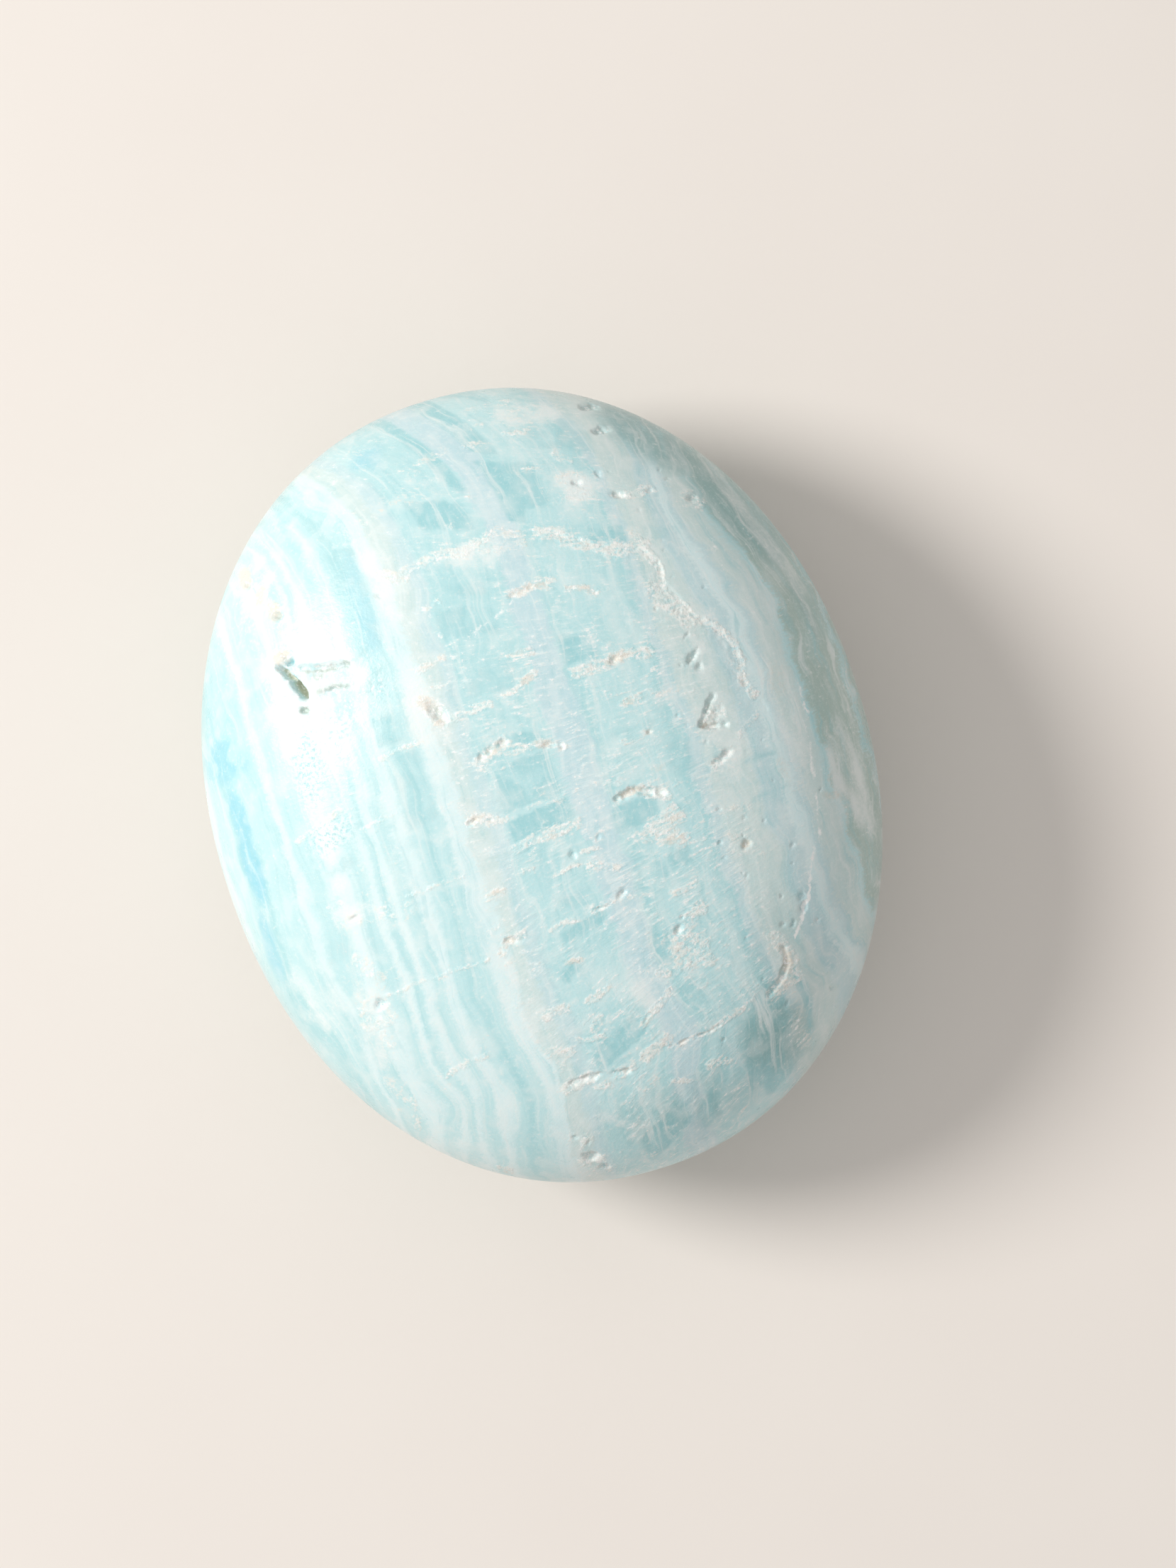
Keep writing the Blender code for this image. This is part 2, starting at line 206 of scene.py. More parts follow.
# Breaks filled with rough white crystal: (half width, strength, (across, along) points)
CRYSTAL_BREAKS = {
    "upper half": (
        (0.3, 0.9, ((-5.1, 14.4), (-4.4, 14.1), (-3.8, 13.9))),
        (0.26, 0.9, ((-4.5, 14.0), (-3.0, 14.35), (-1.5, 14.5), (0.0, 14.2), (1.0, 14.6), (2.2, 14.75),
                     (3.1, 14.3))),
        (0.3, 0.7, ((1.0, 14.0), (2.2, 13.9), (3.3, 13.65))),
        (0.34, 1.0, ((4.3, 14.0), (5.2, 13.65), (5.9, 13.1), (6.8, 12.5), (7.6, 11.95), (8.9, 11.65),
                     (9.9, 11.45))),
        (0.24, 0.9, ((9.8, 11.5), (10.2, 10.6), (10.45, 9.6), (10.3, 8.8))),
        (0.46, 1.0, ((9.7, 8.8), (10.15, 8.0), (10.75, 7.2), (11.1, 6.5))),
        (0.22, 0.9, ((11.0, 7.6), (11.55, 6.6), (12.3, 5.8), (12.95, 5.0), (13.3, 4.2), (13.3, 3.4),
                     (13.0, 2.4), (13.45, 1.2))),
        (0.26, 1.0, ((1.6, 11.05), (2.4, 11.0), (3.4, 11.15), (4.3, 11.12))),
        (0.15, 0.9, ((4.9, 10.4), (5.7, 10.2), (6.5, 9.5))),
        (0.15, 0.8, ((1.7, 20.2), (2.7, 20.15))),
        (0.16, 0.8, ((4.3, 20.2), (5.7, 20.1))),
        (0.12, 0.8, ((4.6, 17.9), (5.6, 17.55))),
        (0.2, 0.6, ((2.6, 22.4), (3.4, 22.3), (5.0, 22.2))),
        (0.55, 0.5, ((5.2, 21.2), (6.4, 20.9))),
        (0.12, 0.8, ((-3.2, 11.8), (-2.3, 11.9))),
        (0.18, 0.8, ((-4.6, 8.4), (-3.1, 8.7))),
        (0.18, 0.9, ((0.5, 7.6), (1.2, 7.65), (1.9, 7.5))),
        (0.4, 0.5, ((-6.3, 17.1), (-5.0, 18.0), (-3.5, 18.45), (-1.6, 18.3))),
        (0.26, 0.8, ((9.3, 14.8), (10.1, 14.5), (11.4, 14.45))),
        (0.36, 0.8, ((13.35, 13.6), (13.6, 13.2), (13.9, 12.8))),
        (0.45, 0.6, ((6.6, 15.7), (7.8, 15.35))),
        (0.4, 0.6, ((6.6, 16.6), (7.6, 16.4))),
        (0.22, 0.7, ((6.8, 18.2), (7.4, 17.5))),
        (0.22, 0.8, ((9.6, 12.3), (9.8, 11.9))),
        (0.2, 0.6, ((-0.9, 20.1), (0.6, 20.2))),
        (0.3, 0.8, ((-12.95, 16.4), (-12.3, 15.8), (-11.7, 14.9), (-11.4, 14.0))),
        (0.36, 0.9, ((-12.6, 11.75), (-12.1, 11.7), (-11.7, 12.0))),
    ),
    "middle": (
        (0.36, 1.0, ((-2.9, 2.35), (-2.2, 2.6), (-1.2, 2.95))),
        (0.2, 0.9, ((-1.6, 2.5), (0.2, 2.3), (1.0, 2.3), (1.3, 2.05), (2.0, 1.6))),
        (0.2, 0.9, ((0.6, 5.85), (1.2, 6.05), (1.6, 6.2))),
        (0.12, 0.7, ((-0.5, 5.5), (0.7, 5.8))),
        (0.28, 1.0, ((4.0, 5.45), (5.2, 5.55), (6.3, 5.7), (7.1, 5.6), (8.2, 5.4))),
        (0.25, 0.8, ((5.9, 3.05), (6.5, 3.1), (7.0, 3.05))),
        (0.2, 0.6, ((7.8, 3.0), (8.6, 3.05))),
        (0.15, 0.7, ((5.3, 0.8), (6.0, 0.85), (7.0, 1.0))),
        (0.24, 1.0, ((-4.6, -0.9), (-4.1, -0.7), (-3.4, -0.95), (-2.6, -1.2))),
        (0.12, 0.7, ((-1.0, -1.1), (0.3, -1.0), (1.0, -1.3))),
        (0.3, 0.9, ((-2.5, -3.05), (-1.0, -2.85), (0.2, -2.75), (1.3, -2.75))),
        (0.22, 1.0, ((4.0, -2.1), (4.8, -1.95), (5.5, -1.9))),
        (0.32, 1.0, ((5.8, -2.35), (6.3, -2.6), (6.7, -2.7))),
        (0.6, 1.0, ((5.3, -4.6), (6.0, -4.4), (6.7, -4.0))),
        (0.34, 0.9, ((5.4, -4.9), (6.4, -5.0), (7.0, -5.6))),
        (0.14, 1.0, ((1.2, -4.45), (2.0, -4.5))),
        (0.2, 0.9, ((1.3, -5.3), (1.9, -5.5), (2.7, -5.8))),
        (0.2, 0.9, ((2.1, -4.0), (2.45, -3.75))),
        (0.12, 0.8, ((-0.7, -5.2), (0.6, -5.05))),
        (0.1, 0.8, ((-2.6, -4.4), (-1.8, -4.3))),
        (0.18, 0.9, ((0.6, -7.85), (1.6, -7.8), (3.0, -7.75))),
        (0.26, 1.0, ((-5.0, -8.6), (-4.5, -8.0), (-3.7, -7.9))),
        (0.2, 0.8, ((-4.9, -5.3), (-4.4, -5.1), (-3.9, -5.1))),
        (0.34, 1.0, ((-5.1, 6.7), (-4.7, 6.3), (-4.5, 5.5), (-4.2, 5.1))),
        (0.26, 0.9, ((-3.6, 5.2), (-2.6, 5.3), (-1.5, 5.35))),
        (0.14, 0.9, ((-2.0, -8.2), (-1.3, -8.0), (-0.6, -8.1))),
        (0.14, 0.6, ((11.8, -0.8), (12.5, -0.3), (13.6, 0.2))),
        (0.4, 0.8, ((10.5, 0.4), (11.2, 0.9))),
        (0.22, 0.7, ((9.9, -2.0), (11.2, -1.5))),
        (0.3, 0.6, ((10.3, -2.4), (10.9, -2.6))),
        (0.26, 0.6, ((10.2, -4.7), (11.2, -4.9))),
        (0.34, 0.6, ((9.6, -6.3), (10.4, -6.9), (10.8, -7.7))),
    ),
    "left half": (
        (0.36, 0.65, ((-13.4, -3.9), (-12.6, -4.1), (-12.2, -4.5))),
        (0.4, 0.6, ((-13.2, -6.5), (-12.6, -7.5), (-12.3, -8.0))),
        (0.42, 0.65, ((-13.9, -9.3), (-13.2, -9.2), (-12.6, -9.4))),
        (0.36, 0.65, ((-14.0, -10.3), (-12.5, -10.2))),
        (0.3, 0.65, ((-13.2, -11.0), (-13.0, -11.7))),
        (0.3, 0.6, ((-13.9, -13.9), (-13.3, -14.8))),
        (0.22, 0.7, ((-13.0, -15.2), (-13.1, -17.0))),
        (0.1, 0.8, ((-12.3, -8.9), (-10.9, -8.8), (-8.0, -8.7), (-6.0, -8.75))),
        (0.16, 0.8, ((-10.8, -14.4), (-9.3, -14.2), (-7.8, -14.0))),
        (0.1, 0.7, ((-9.3, -3.8), (-7.7, -3.75), (-5.8, -3.6))),
        (0.12, 0.8, ((-8.3, 4.3), (-6.9, 4.4), (-6.0, 4.5))),
        (0.46, 0.6, ((-10.95, -4.2), (-10.6, -4.3))),
        (0.4, 0.6, ((-9.7, -4.4), (-9.5, -4.5))),
        (0.14, 0.8, ((-14.5, 1.2), (-12.9, 1.7), (-11.5, 2.1))),
        (0.12, 0.7, ((-10.7, 0.7), (-8.5, 1.0))),
        (0.2, 0.8, ((-9.3, -20.9), (-8.8, -21.2))),
    ),
    "lower half": (
        (0.42, 0.9, ((4.3, -10.6), (5.2, -10.6), (6.6, -9.6))),
        (0.55, 0.8, ((4.6, -11.6), (6.0, -11.6))),
        (0.5, 0.8, ((4.7, -12.4), (6.1, -12.5))),
        (0.2, 0.9, ((3.2, -12.5), (3.7, -12.7))),
        (0.22, 0.9, ((1.3, -15.1), (1.8, -14.7), (2.6, -14.3), (3.4, -13.6))),
        (0.28, 0.9, ((0.9, -16.95), (1.5, -16.7), (2.5, -16.3))),
        (0.14, 0.9, ((2.5, -16.9), (4.0, -16.7), (5.3, -16.6), (6.0, -16.35), (7.3, -16.0))),
        (0.28, 0.9, ((8.9, -15.9), (9.6, -15.6), (10.6, -15.3))),
        (0.4, 0.9, ((10.2, -12.6), (10.6, -13.5), (10.8, -14.3), (10.7, -15.0))),
        (0.12, 0.8, ((5.0, -17.7), (5.6, -17.5))),
        (0.24, 0.9, ((4.4, -18.7), (5.1, -18.5), (5.5, -18.7))),
        (0.14, 1.0, ((2.0, -18.8), (3.0, -19.1))),
        (0.24, 0.6, ((0.0, -18.9), (1.2, -18.5))),
        (0.24, 0.8, ((5.5, -8.2), (6.3, -8.3), (6.8, -7.9))),
        (0.12, 0.9, ((-1.6, -10.2), (-0.9, -10.3))),
        (0.26, 0.9, ((-3.8, -12.9), (-3.2, -12.7), (-2.6, -12.8))),
        (0.2, 0.9, ((-1.2, -12.8), (-0.6, -12.6), (0.2, -12.4))),
        (0.2, 0.9, ((-1.3, -14.3), (-0.8, -13.9))),
        (0.16, 0.9, ((-2.5, -14.8), (-1.0, -15.0))),
        (0.32, 0.7, ((-4.6, -14.8), (-3.2, -15.3))),
        (0.32, 1.0, ((-3.9, -17.3), (-2.7, -17.1), (-2.2, -17.2))),
        (0.2, 0.9, ((-2.2, -17.7), (-1.5, -17.9))),
        (0.26, 0.9, ((-0.9, -17.5), (0.0, -17.2))),
        (0.2, 0.9, ((-4.1, -20.8), (-3.6, -20.7))),
        (0.26, 1.0, ((-4.5, -21.9), (-3.8, -21.8), (-3.4, -22.0))),
        (0.18, 1.0, ((-3.6, -22.6), (-3.2, -22.8))),
        (0.14, 0.7, ((-1.0, -22.8), (-0.3, -22.8))),
        (0.26, 0.6, ((10.6, -18.7), (10.0, -19.4))),
    ),
}

CORE_REACH = 2.0           # how many half widths of the break its crystal reaches out
CORE_SOFTNESS = 0.75
RIM_STRENGTH = 0.34        # how strong the milky rim around a break is
RIM_REACH = 4.3            # how many half widths of the break it reaches out
CRYSTAL_EVEN = 0.78        # share of a break's crystal that is there all along it
CRYSTAL_PATCHY = 0.34      # and the share that comes and goes
CRACK_EVEN = 0.6
CRACK_PATCHY = 0.4
BLOCK_SIDE_EDGE = 0.7      # how softly a block ends across the bands
BLOCK_END_EDGE = 0.35      # and along them

# Healed cracks, seen as thin white lines: (half width, strength, points)
CRACKS = (
    (0.065, 1.0, ((15.05, -5.3), (14.95, -6.5), (14.55, -7.5), (14.2, -8.1), (13.8, -8.9), (13.2, -10.0),
                 (12.7, -11.2), (12.2, -12.0), (11.4, -13.0))),
    (0.07, 0.6, ((16.2, 1.0), (16.1, 0.0), (16.0, -0.8), (15.7, -2.0), (15.5, -3.2), (15.2, -4.5))),
    (0.06, 0.6, ((-3.1, 11.6), (-2.9, 10.4), (-2.65, 9.3), (-2.4, 8.2))),
    (0.06, 0.6, ((-2.6, 9.3), (-1.2, 9.5), (0.4, 10.0), (1.8, 10.6))),
    (0.07, 0.5, ((13.7, 11.5), (14.0, 10.2), (14.1, 9.0), (13.8, 8.2))),
)

OVAL_RIM = 1.4             # a patch fades out this many of its half widths from its middle

# Milky clouds, rough patches, stained and strongly coloured places, and painted shade on the flanks and in
# the pits:
# (across, along, half length, half width, turn in degrees, strength)
SOFT_PATCHES = {
    "cloud": (
        (-11.1, 7.6, 3.2, 1.9, 75, 0.75),
        (-9.2, 9.6, 2.2, 1.3, 0, 0.9),
        (-12.4, 15.8, 2.4, 0.9, 60, 0.65),
        (-12.6, 0.9, 1.8, 1.2, 60, 0.55),
        (-5.2, 6.0, 1.6, 2.4, 0, 0.85),
        (-5.0, 14.5, 1.3, 2.8, 0, 0.6),
        (-12.9, -3.2, 1.0, 1.9, 0, 0.6),
        (-13.4, -10.5, 1.1, 2.6, 0, 0.8),
        (-16.1, -8.2, 1.4, 2.4, 0, 0.55),
        (-5.3, -12.0, 0.9, 4.6, 0, 0.55),
        (-14.0, 10.5, 0.9, 2.2, 0, 0.3),
        (7.1, 16.0, 1.6, 1.2, -20, 0.9),
        (6.0, 21.1, 2.0, 0.9, -10, 0.85),
        (1.5, -13.6, 1.9, 1.3, 25, 0.55),
        (0.9, 13.9, 2.6, 0.9, 5, 0.75),
        (11.9, 5.6, 0.8, 1.9, -35, 0.55),
        (-8.6, 6.4, 0.7, 1.4, 0, 0.4),
        (17.2, -5.0, 1.3, 3.6, 0, 0.7),
        (15.2, -1.5, 0.8, 2.6, 0, 0.45),
        (11.2, 0.5, 1.2, 4.6, 0, 0.55),
        (-1.2, 3.6, 1.4, 0.7, 0, 0.45),
        (-6.0, -1.0, 1.0, 3.0, 0, 0.3),
    ),
    "scaly": (
        (-12.4, 5.4, 2.6, 0.95, 78, 0.85),
        (-10.7, 6.6, 1.6, 1.0, 20, 0.6),
        (-12.4, 1.0, 1.6, 0.9, 20, 0.7),
    ),
    "sky": (
        (-17.4, 3.6, 0.6, 1.6, 0, 1.0),
        (-17.6, 0.6, 0.6, 2.2, 0, 1.0),
        (-17.3, 7.0, 1.5, 1.6, 0, 0.75),
        (-18.1, -4.2, 0.5, 2.4, 0, 0.55),
        (-9.6, 18.6, 0.45, 1.9, 15, 0.55),
        (-6.7, 13.0, 0.8, 3.4, 0, 0.4),
        (-3.9, 21.4, 1.2, 1.0, 0, 0.45),
        (-16.4, 10.6, 1.4, 2.6, 0, 0.3),
    ),
    # Painted shade: darker patches where the upper right rim, the right flank and the lower end turn away
    # from the lamp
    "painted_flank_shade": (
        (12.6, 17.8, 4.6, 1.7, -54, 0.95),
        (16.0, 12.2, 5.0, 1.8, -66, 0.9),
        (18.2, 5.5, 3.2, 1.0, -82, 0.45),
        (8.6, -18.3, 2.6, 2.6, 0, 0.75),
        (10.2, -13.5, 3.8, 2.6, 70, 0.34),
        (2.0, -20.4, 5.4, 2.0, 0, 0.42),
    ),
}
RAGGED_PATCHES = {
    "stain": (
        (-12.1, 11.75, 0.6, 0.45, 0, 1.0),
        (-11.75, 14.5, 0.8, 0.5, 60, 0.85),
        (-12.3, 15.6, 0.9, 0.4, 60, 0.7),
        (-12.9, 17.0, 0.9, 0.5, 70, 0.85),
        (-11.8, 12.9, 1.0, 0.3, 80, 0.55),
        (-4.9, 6.5, 0.7, 0.5, -40, 0.5),
        (-4.45, 5.3, 0.5, 0.35, -40, 0.55),
        (-2.0, 2.75, 0.9, 0.4, 12, 0.55),
        (0.85, 2.25, 0.6, 0.3, -10, 0.6),
        (1.15, 6.0, 0.5, 0.26, 15, 0.6),
        (6.35, 5.62, 0.8, 0.34, 0, 0.65),
        (6.35, 3.08, 0.55, 0.28, 0, 0.55),
        (6.85, 1.0, 0.3, 0.24, 0, 0.6),
        (6.85, -1.1, 0.35, 0.24, 0, 0.5),
        (4.9, -2.0, 0.95, 0.28, 5, 0.65),
        (6.15, -5.35, 0.55, 0.28, 0, 0.55),
        (-4.4, -5.15, 0.5, 0.28, 0, 0.45),
        (-4.5, -8.1, 0.6, 0.35, 20, 0.5),
        (-4.1, -0.75, 0.6, 0.24, 0, 0.45),
        (2.9, 11.05, 1.4, 0.26, 3, 0.55),
        (5.6, 10.2, 0.8, 0.22, -25, 0.45),
        (-3.8, 8.55, 0.8, 0.2, 10, 0.4),
        (1.1, 7.62, 0.7, 0.2, 0, 0.45),
        (10.28, -6.95, 0.34, 0.28, 20, 0.7),
        (10.2, 0.55, 0.5, 0.26, 30, 0.5),
        (13.7, -3.4, 0.5, 0.9, 0, 0.35),
        (16.0, -5.8, 0.7, 0.3, -30, 0.45),
        (-1.4, -10.3, 0.6, 0.22, 0, 0.5),
        (1.75, -14.95, 0.5, 0.24, 20, 0.45),
        (1.8, -16.75, 1.0, 0.32, 15, 0.35),
        (9.6, -15.7, 1.0, 0.26, 30, 0.35),
        (10.55, -14.2, 0.9, 0.35, 80, 0.75),
        (10.6, 0.7, 0.5, 0.45, 20, 0.4),
        (10.6, 4.2, 0.3, 0.22, 40, 0.35),
        (-12.7, -4.0, 0.7, 0.4, 0, 0.35),
        (-12.4, -7.8, 0.5, 0.4, 0, 0.35),
        (17.0, -3.5, 1.4, 3.8, 0, 0.12),
        (14.9, 1.8, 0.9, 1.4, 0, 0.3),
        (10.3, -17.8, 0.9, 1.6, 0, 0.25),
    ),
    # Painted shade: grey-green patches in the pits, along the slit's breaks and under the ledges, where
    # shade falls
    "painted_shade": (
        (-10.1, 10.3, 1.5, 0.13, -12, 1.0),
        (-10.4, 9.95, 0.9, 0.22, -8, 0.7),
        (-9.6, 9.1, 1.3, 0.24, -14, 0.75),
        (-10.6, 9.2, 0.6, 0.2, 5, 0.7),
        (-8.6, 10.25, 0.22, 0.22, 0, 0.8),
        (-11.72, 8.33, 0.32, 0.28, 0, 0.8),
        (-11.62, 14.1, 0.28, 0.2, -20, 0.8),
        (-12.7, 16.4, 0.3, 0.16, 40, 0.6),
        (10.65, 1.2, 0.4, 0.16, 45, 0.7),
        (10.2, -14.6, 0.9, 0.12, 60, 0.6),
        (-4.35, 5.85, 0.5, 0.2, -58, 0.6),
    ),
}

# Blocks of deeper turquoise between two breaks:
# (place among the bands, along, half width, half height, strength)
DEEP_BLOCKS = (
    (1.15, 20.6, 0.4, 3.0, 1.0),
    (3.8, 21.6, 0.6, 2.6, 1.1),
    (3.45, 16.9, 0.45, 1.9, 1.0),
    (5.6, 22.3, 1.2, 0.6, 0.6),
    (7.9, 19.0, 1.6, 1.1, 0.45),
    (-0.6, 0.45, 1.9, 1.45, 0.62),
    (-0.6, -1.98, 1.9, 0.66, 0.95),
    (0.2, 2.85, 0.9, 0.42, 0.7),
    (-0.9, 6.9, 1.6, 1.1, 0.42),
    (-1.1, 10.3, 1.8, 1.0, 0.55),
    (-0.8, 12.1, 1.4, 0.55, 0.45),
    (-0.5, 16.6, 1.5, 0.9, 0.75),
    (-1.3, 13.7, 1.6, 0.4, 0.4),
    (0.0, -8.6, 1.6, 0.45, 0.7),
    (-1.6, -10.85, 0.7, 0.36, 0.8),
    (-0.9, -15.95, 1.8, 0.75, 0.8),
    (0.8, -21.6, 1.6, 0.9, 0.8),
    (0.3, -6.9, 1.4, 0.6, 0.5),
    (4.8, -3.2, 1.4, 0.78, 0.7),
    (4.6, 6.8, 1.1, 0.9, 0.7),
    (4.4, 16.9, 1.4, 1.5, 0.6),
    (8.2, 12.7, 1.1, 0.5, 0.75),
    (6.1, -6.6, 1.2, 0.6, 0.6),
    (3.8, -11.2, 0.7, 1.1, 0.6),
    (4.2, -14.6, 0.9, 0.95, 0.55),
    (8.0, -18.4, 0.9, 2.8, 1.1),
    (6.6, -19.0, 0.4, 2.0, 0.9),
    (10.2, -17.0, 0.35, 2.2, 0.7),
    (4.9, -18.6, 0.5, 1.4, 0.6),
    (3.6, -21.2, 0.7, 0.9, 0.65),
    (6.2, 1.5, 1.6, 0.36, 0.45),
    (8.2, -1.0, 0.9, 1.1, 0.45),
    (12.6, -2.3, 1.1, 0.3, 0.55),
    (12.4, -3.6, 1.3, 0.36, 0.45),
    (12.5, -4.55, 1.3, 0.3, 0.45),
    (12.3, 11.6, 1.6, 0.5, 0.4),
    (-7.1, 13.6, 1.2, 3.2, 0.45),
    (-7.0, 2.0, 1.1, 2.2, 0.45),
    (-12.4, -0.9, 1.1, 0.5, 0.4),
    (-14.2, -5.2, 0.8, 1.1, 0.35),
    (-12.0, -5.4, 0.6, 1.1, 0.3),
    (-10.6, 3.4, 0.45, 0.95, 0.5),
    (-7.6, 5.8, 0.85, 1.0, 0.5),
)

# Levels along the stone where the bands break and the tone changes from block to block
BREAK_LEVELS = (
    -23.0, -22.2, -21.0, -18.8, -17.0, -15.1, -13.4, -12.5, -10.3, -9.0, -7.8, -6.0, -4.3, -2.8,
    -1.1, 1.9, 3.3, 5.5, 7.7, 9.3, 11.1, 13.0, 14.4, 15.6, 18.2, 20.2, 22.0,
)
BLOCK_SEED = 11

# Lumps of noise, by their size: they break the marks' outlines, by up to that reach, and roughen
# the surface
ROUGHNESS_FALL = 0.8                    # how fast finer lumps get weaker, from 0, not at all, to 1
OUTLINE_LUMPS = ((1.20, 0.14), (0.34, 0.09))
OUTLINE_SEED = 7                        # without a seed, Blender's noise vectors change from run to run
COARSE_LUMP = 0.55
FINE_LUMP = 0.24
PATCH_LUMP = 0.8
PATCH_LEVEL = 0.55
PATCH_CONTRAST = 1.3
SCALE_LUMP = 0.30
SCALE_SQUASH = np.array([1.0, 1.6, 1.0])
GRIT_START = 0.4                        # how strong crystal is where its grit starts
GRIT_GROWTH = 2.0
CRYSTAL_GRIT = (0.007, 0.009, -0.004)   # height of its coarse and its fine lumps, and its sinking
WALL_GRIT = (0.07, 0.06)                # height of the coarse and the fine lumps on the walls of a pit
WALL_DEPTH = 0.15                       # depth at which a wall is fully rough
NUB_GRIT = 0.10
SCALE_HEIGHT = 0.035
SCALE_ROUGHNESS = 0.5
BAND_WANDER = 0.42                      # how far a band strays
FIBRE_WANDER = 0.25
SLOW_LUMP = 3.0
MILK_LUMP = 1.5
MOTTLE_LUMP = 1.1
CLUMP_LUMP = 0.9
BAND_GRAIN = np.array([0.6, 0.45, 0.4])     # how fine the lumps are across the bands, along them and up
FLANK_GRAIN = np.array([1.7, 0.25, 0.5])
OTHER_PLACE = 40.0                          # noise that has to differ is read this far away
THIRD_PLACE = 9.0
CLOUD_NOISE = 0.60
BLOCK_NOISE = 0.30
PATCH_NOISE = 0.20

# Fibres show from a place among the bands on, and get weaker before another one and before the
# upper end
FIBRES_START = -6.0
FIBRES_START_LENGTH = 2.5
FIBRES_RIGHT = (11.5, 3.5, 0.30)            # the place, the length before it and the share that is left
FIBRES_UPPER = (11.0, 6.0, 0.45)
FIBRES_IN_BLOCKS = 0.20                     # share that is left inside a block
CLUMP_LEVEL = 0.70
CLUMP_LEAST = 0.15

# Scattered marks: how many, and between which places across the stone
SCATTER_SEED = 5
FRONT_DASHES = (150, (-5.0, 9.5))
LEFT_DASHES = (60, (-14.0, -5.0))
HIDDEN_DASHES = (230, (-16.0, 16.0))
FRONT_PITS = (46, (8.5, 13.5))
HIDDEN_PITS = (80, (-17.0, 17.0))
DASH_HALF_LENGTH = (0.10, 0.55)
DASH_HALF_WIDTH = (0.06, 0.16)
DASH_STRENGTH = (0.30, 0.65)
DASH_SLANT = (-0.12, 0.12)
PIT_HALF_LENGTH = (0.07, 0.17)
PIT_SLIMNESS = (0.4, 0.8)
PIT_TURN = (0.0, 50.0)
PIT_STEEPNESS = (0.5, 1.0)
DASH_LIMIT = 0.96          # how far out towards the rim they may lie
PIT_LIMIT = 0.95


def srgb(red, green, blue):
    """A colour from 0 to 255 values, as the linear values that Blender takes."""
    shares = [value / 255 for value in (red, green, blue)]
    linear = [s / 12.92 if s <= 0.04045 else ((s + 0.055) / 1.055) ** 2.4 for s in shares]
    return (*linear, 1.0)


TONES = {
    "milk": srgb(236, 243, 242),
    "chalk": srgb(209, 228, 227),
    "pale": srgb(219, 240, 242),
    "mist": srgb(200, 226, 230),
    "aqua": srgb(196, 230, 233),
    "teal": srgb(180, 222, 226),
    "deep": srgb(155, 208, 214),
    "sky": srgb(152, 213, 228),
    "sage": srgb(180, 203, 196),
    "crystal": srgb(238, 240, 236),
    "bone": srgb(228, 214, 198),
    # painted shade inside the deep pits and the slit
    "hollow": srgb(206, 208, 188),
    # white of the healed cracks, and of the painted glints
    "crack_white_and_painted_glint": srgb(252, 254, 253),
    # painted shade in the pits and under the ledges
    "painted_shade": srgb(196, 209, 202),
    # painted shade of the right flank and the lower end
    "painted_flank_shade": srgb(144, 184, 184),
    "haze": srgb(197, 224, 230),
}

# The bands from left to right across the middle of the stone: where each starts, and its tone
BANDS = (
    (-40.0, "aqua"), (-34.0, "pale"), (-31.5, "teal"), (-28.0, "chalk"), (-25.0, "aqua"), (-22.5, "mist"),
    (-20.5, "pale"), (-19.2, "aqua"), (-18.2, "teal"), (-17.1, "aqua"), (-15.5, "pale"), (-14.9, "aqua"),
    (-13.4, "pale"), (-12.2, "aqua"), (-11.4, "pale"), (-10.9, "aqua"), (-10.3, "pale"), (-9.7, "aqua"),
    (-8.8, "pale"), (-8.1, "aqua"), (-7.4, "teal"), (-6.9, "aqua"), (-6.0, "pale"), (-4.8, "chalk"),
    (-3.7, "mist"), (-2.9, "aqua"), (1.55, "haze"), (3.4, "teal"), (4.1, "aqua"), (8.0, "teal"),
    (8.6, "mist"), (9.4, "chalk"), (12.0, "mist"), (13.3, "pale"), (14.15, "mist"), (14.6, "chalk"),
    (16.05, "aqua"), (16.35, "sage"), (19.0, "teal"), (19.3, "sage"), (22.0, "chalk"), (25.0, "teal"),
    (28.0, "mist"),
)
BANDS_END = 40.0
BAND_EDGE = 0.36           # how softly one band turns into the next
BANDS_IN_A_RAMP = 15
BAND_GRAIN_FRAY = 0.50     # how far the grain and the fibres fray a band's edges
BAND_FIBRE_FRAY = 1.5

# Columns of blocks: between which places among the bands they fade in, between which they fade
# out, and how strong they are
BLOCK_COLUMNS = (((-3.2, -2.6), (1.2, 1.8), 0.75), ((3.2, 3.6), (8.2, 8.9), 0.60))
LEVELS_START = -60.0
LEVELS_END = 60.0
LEVEL_EDGE = 0.22
LEVEL_FRAY = 0.30

# Grain, fibres across the bands and growth lines along them. A group of four is two values and
# what they turn into
GRAIN = (0.20, 3.0, 0.65)           # size, detail and roughness of the noise
FIBRES = (0.42, 4.0, 0.66)
LINES = (0.40, 3.0, 0.6)
FIBRE_FINENESS = (0.55, 1.7, 0.9)   # across the bands, along them and up
LINE_FINENESS = (0.05, 0.1)
LINE_GRAIN = 0.12
LINES_BY_MOTTLE = (-0.5, 0.6, 1.0, 0.5)
BLOCK_INSIDE = (0.2, 0.8)
LINES_IN_BLOCKS = 0.60
LINES_ON_FLANK = 0.50

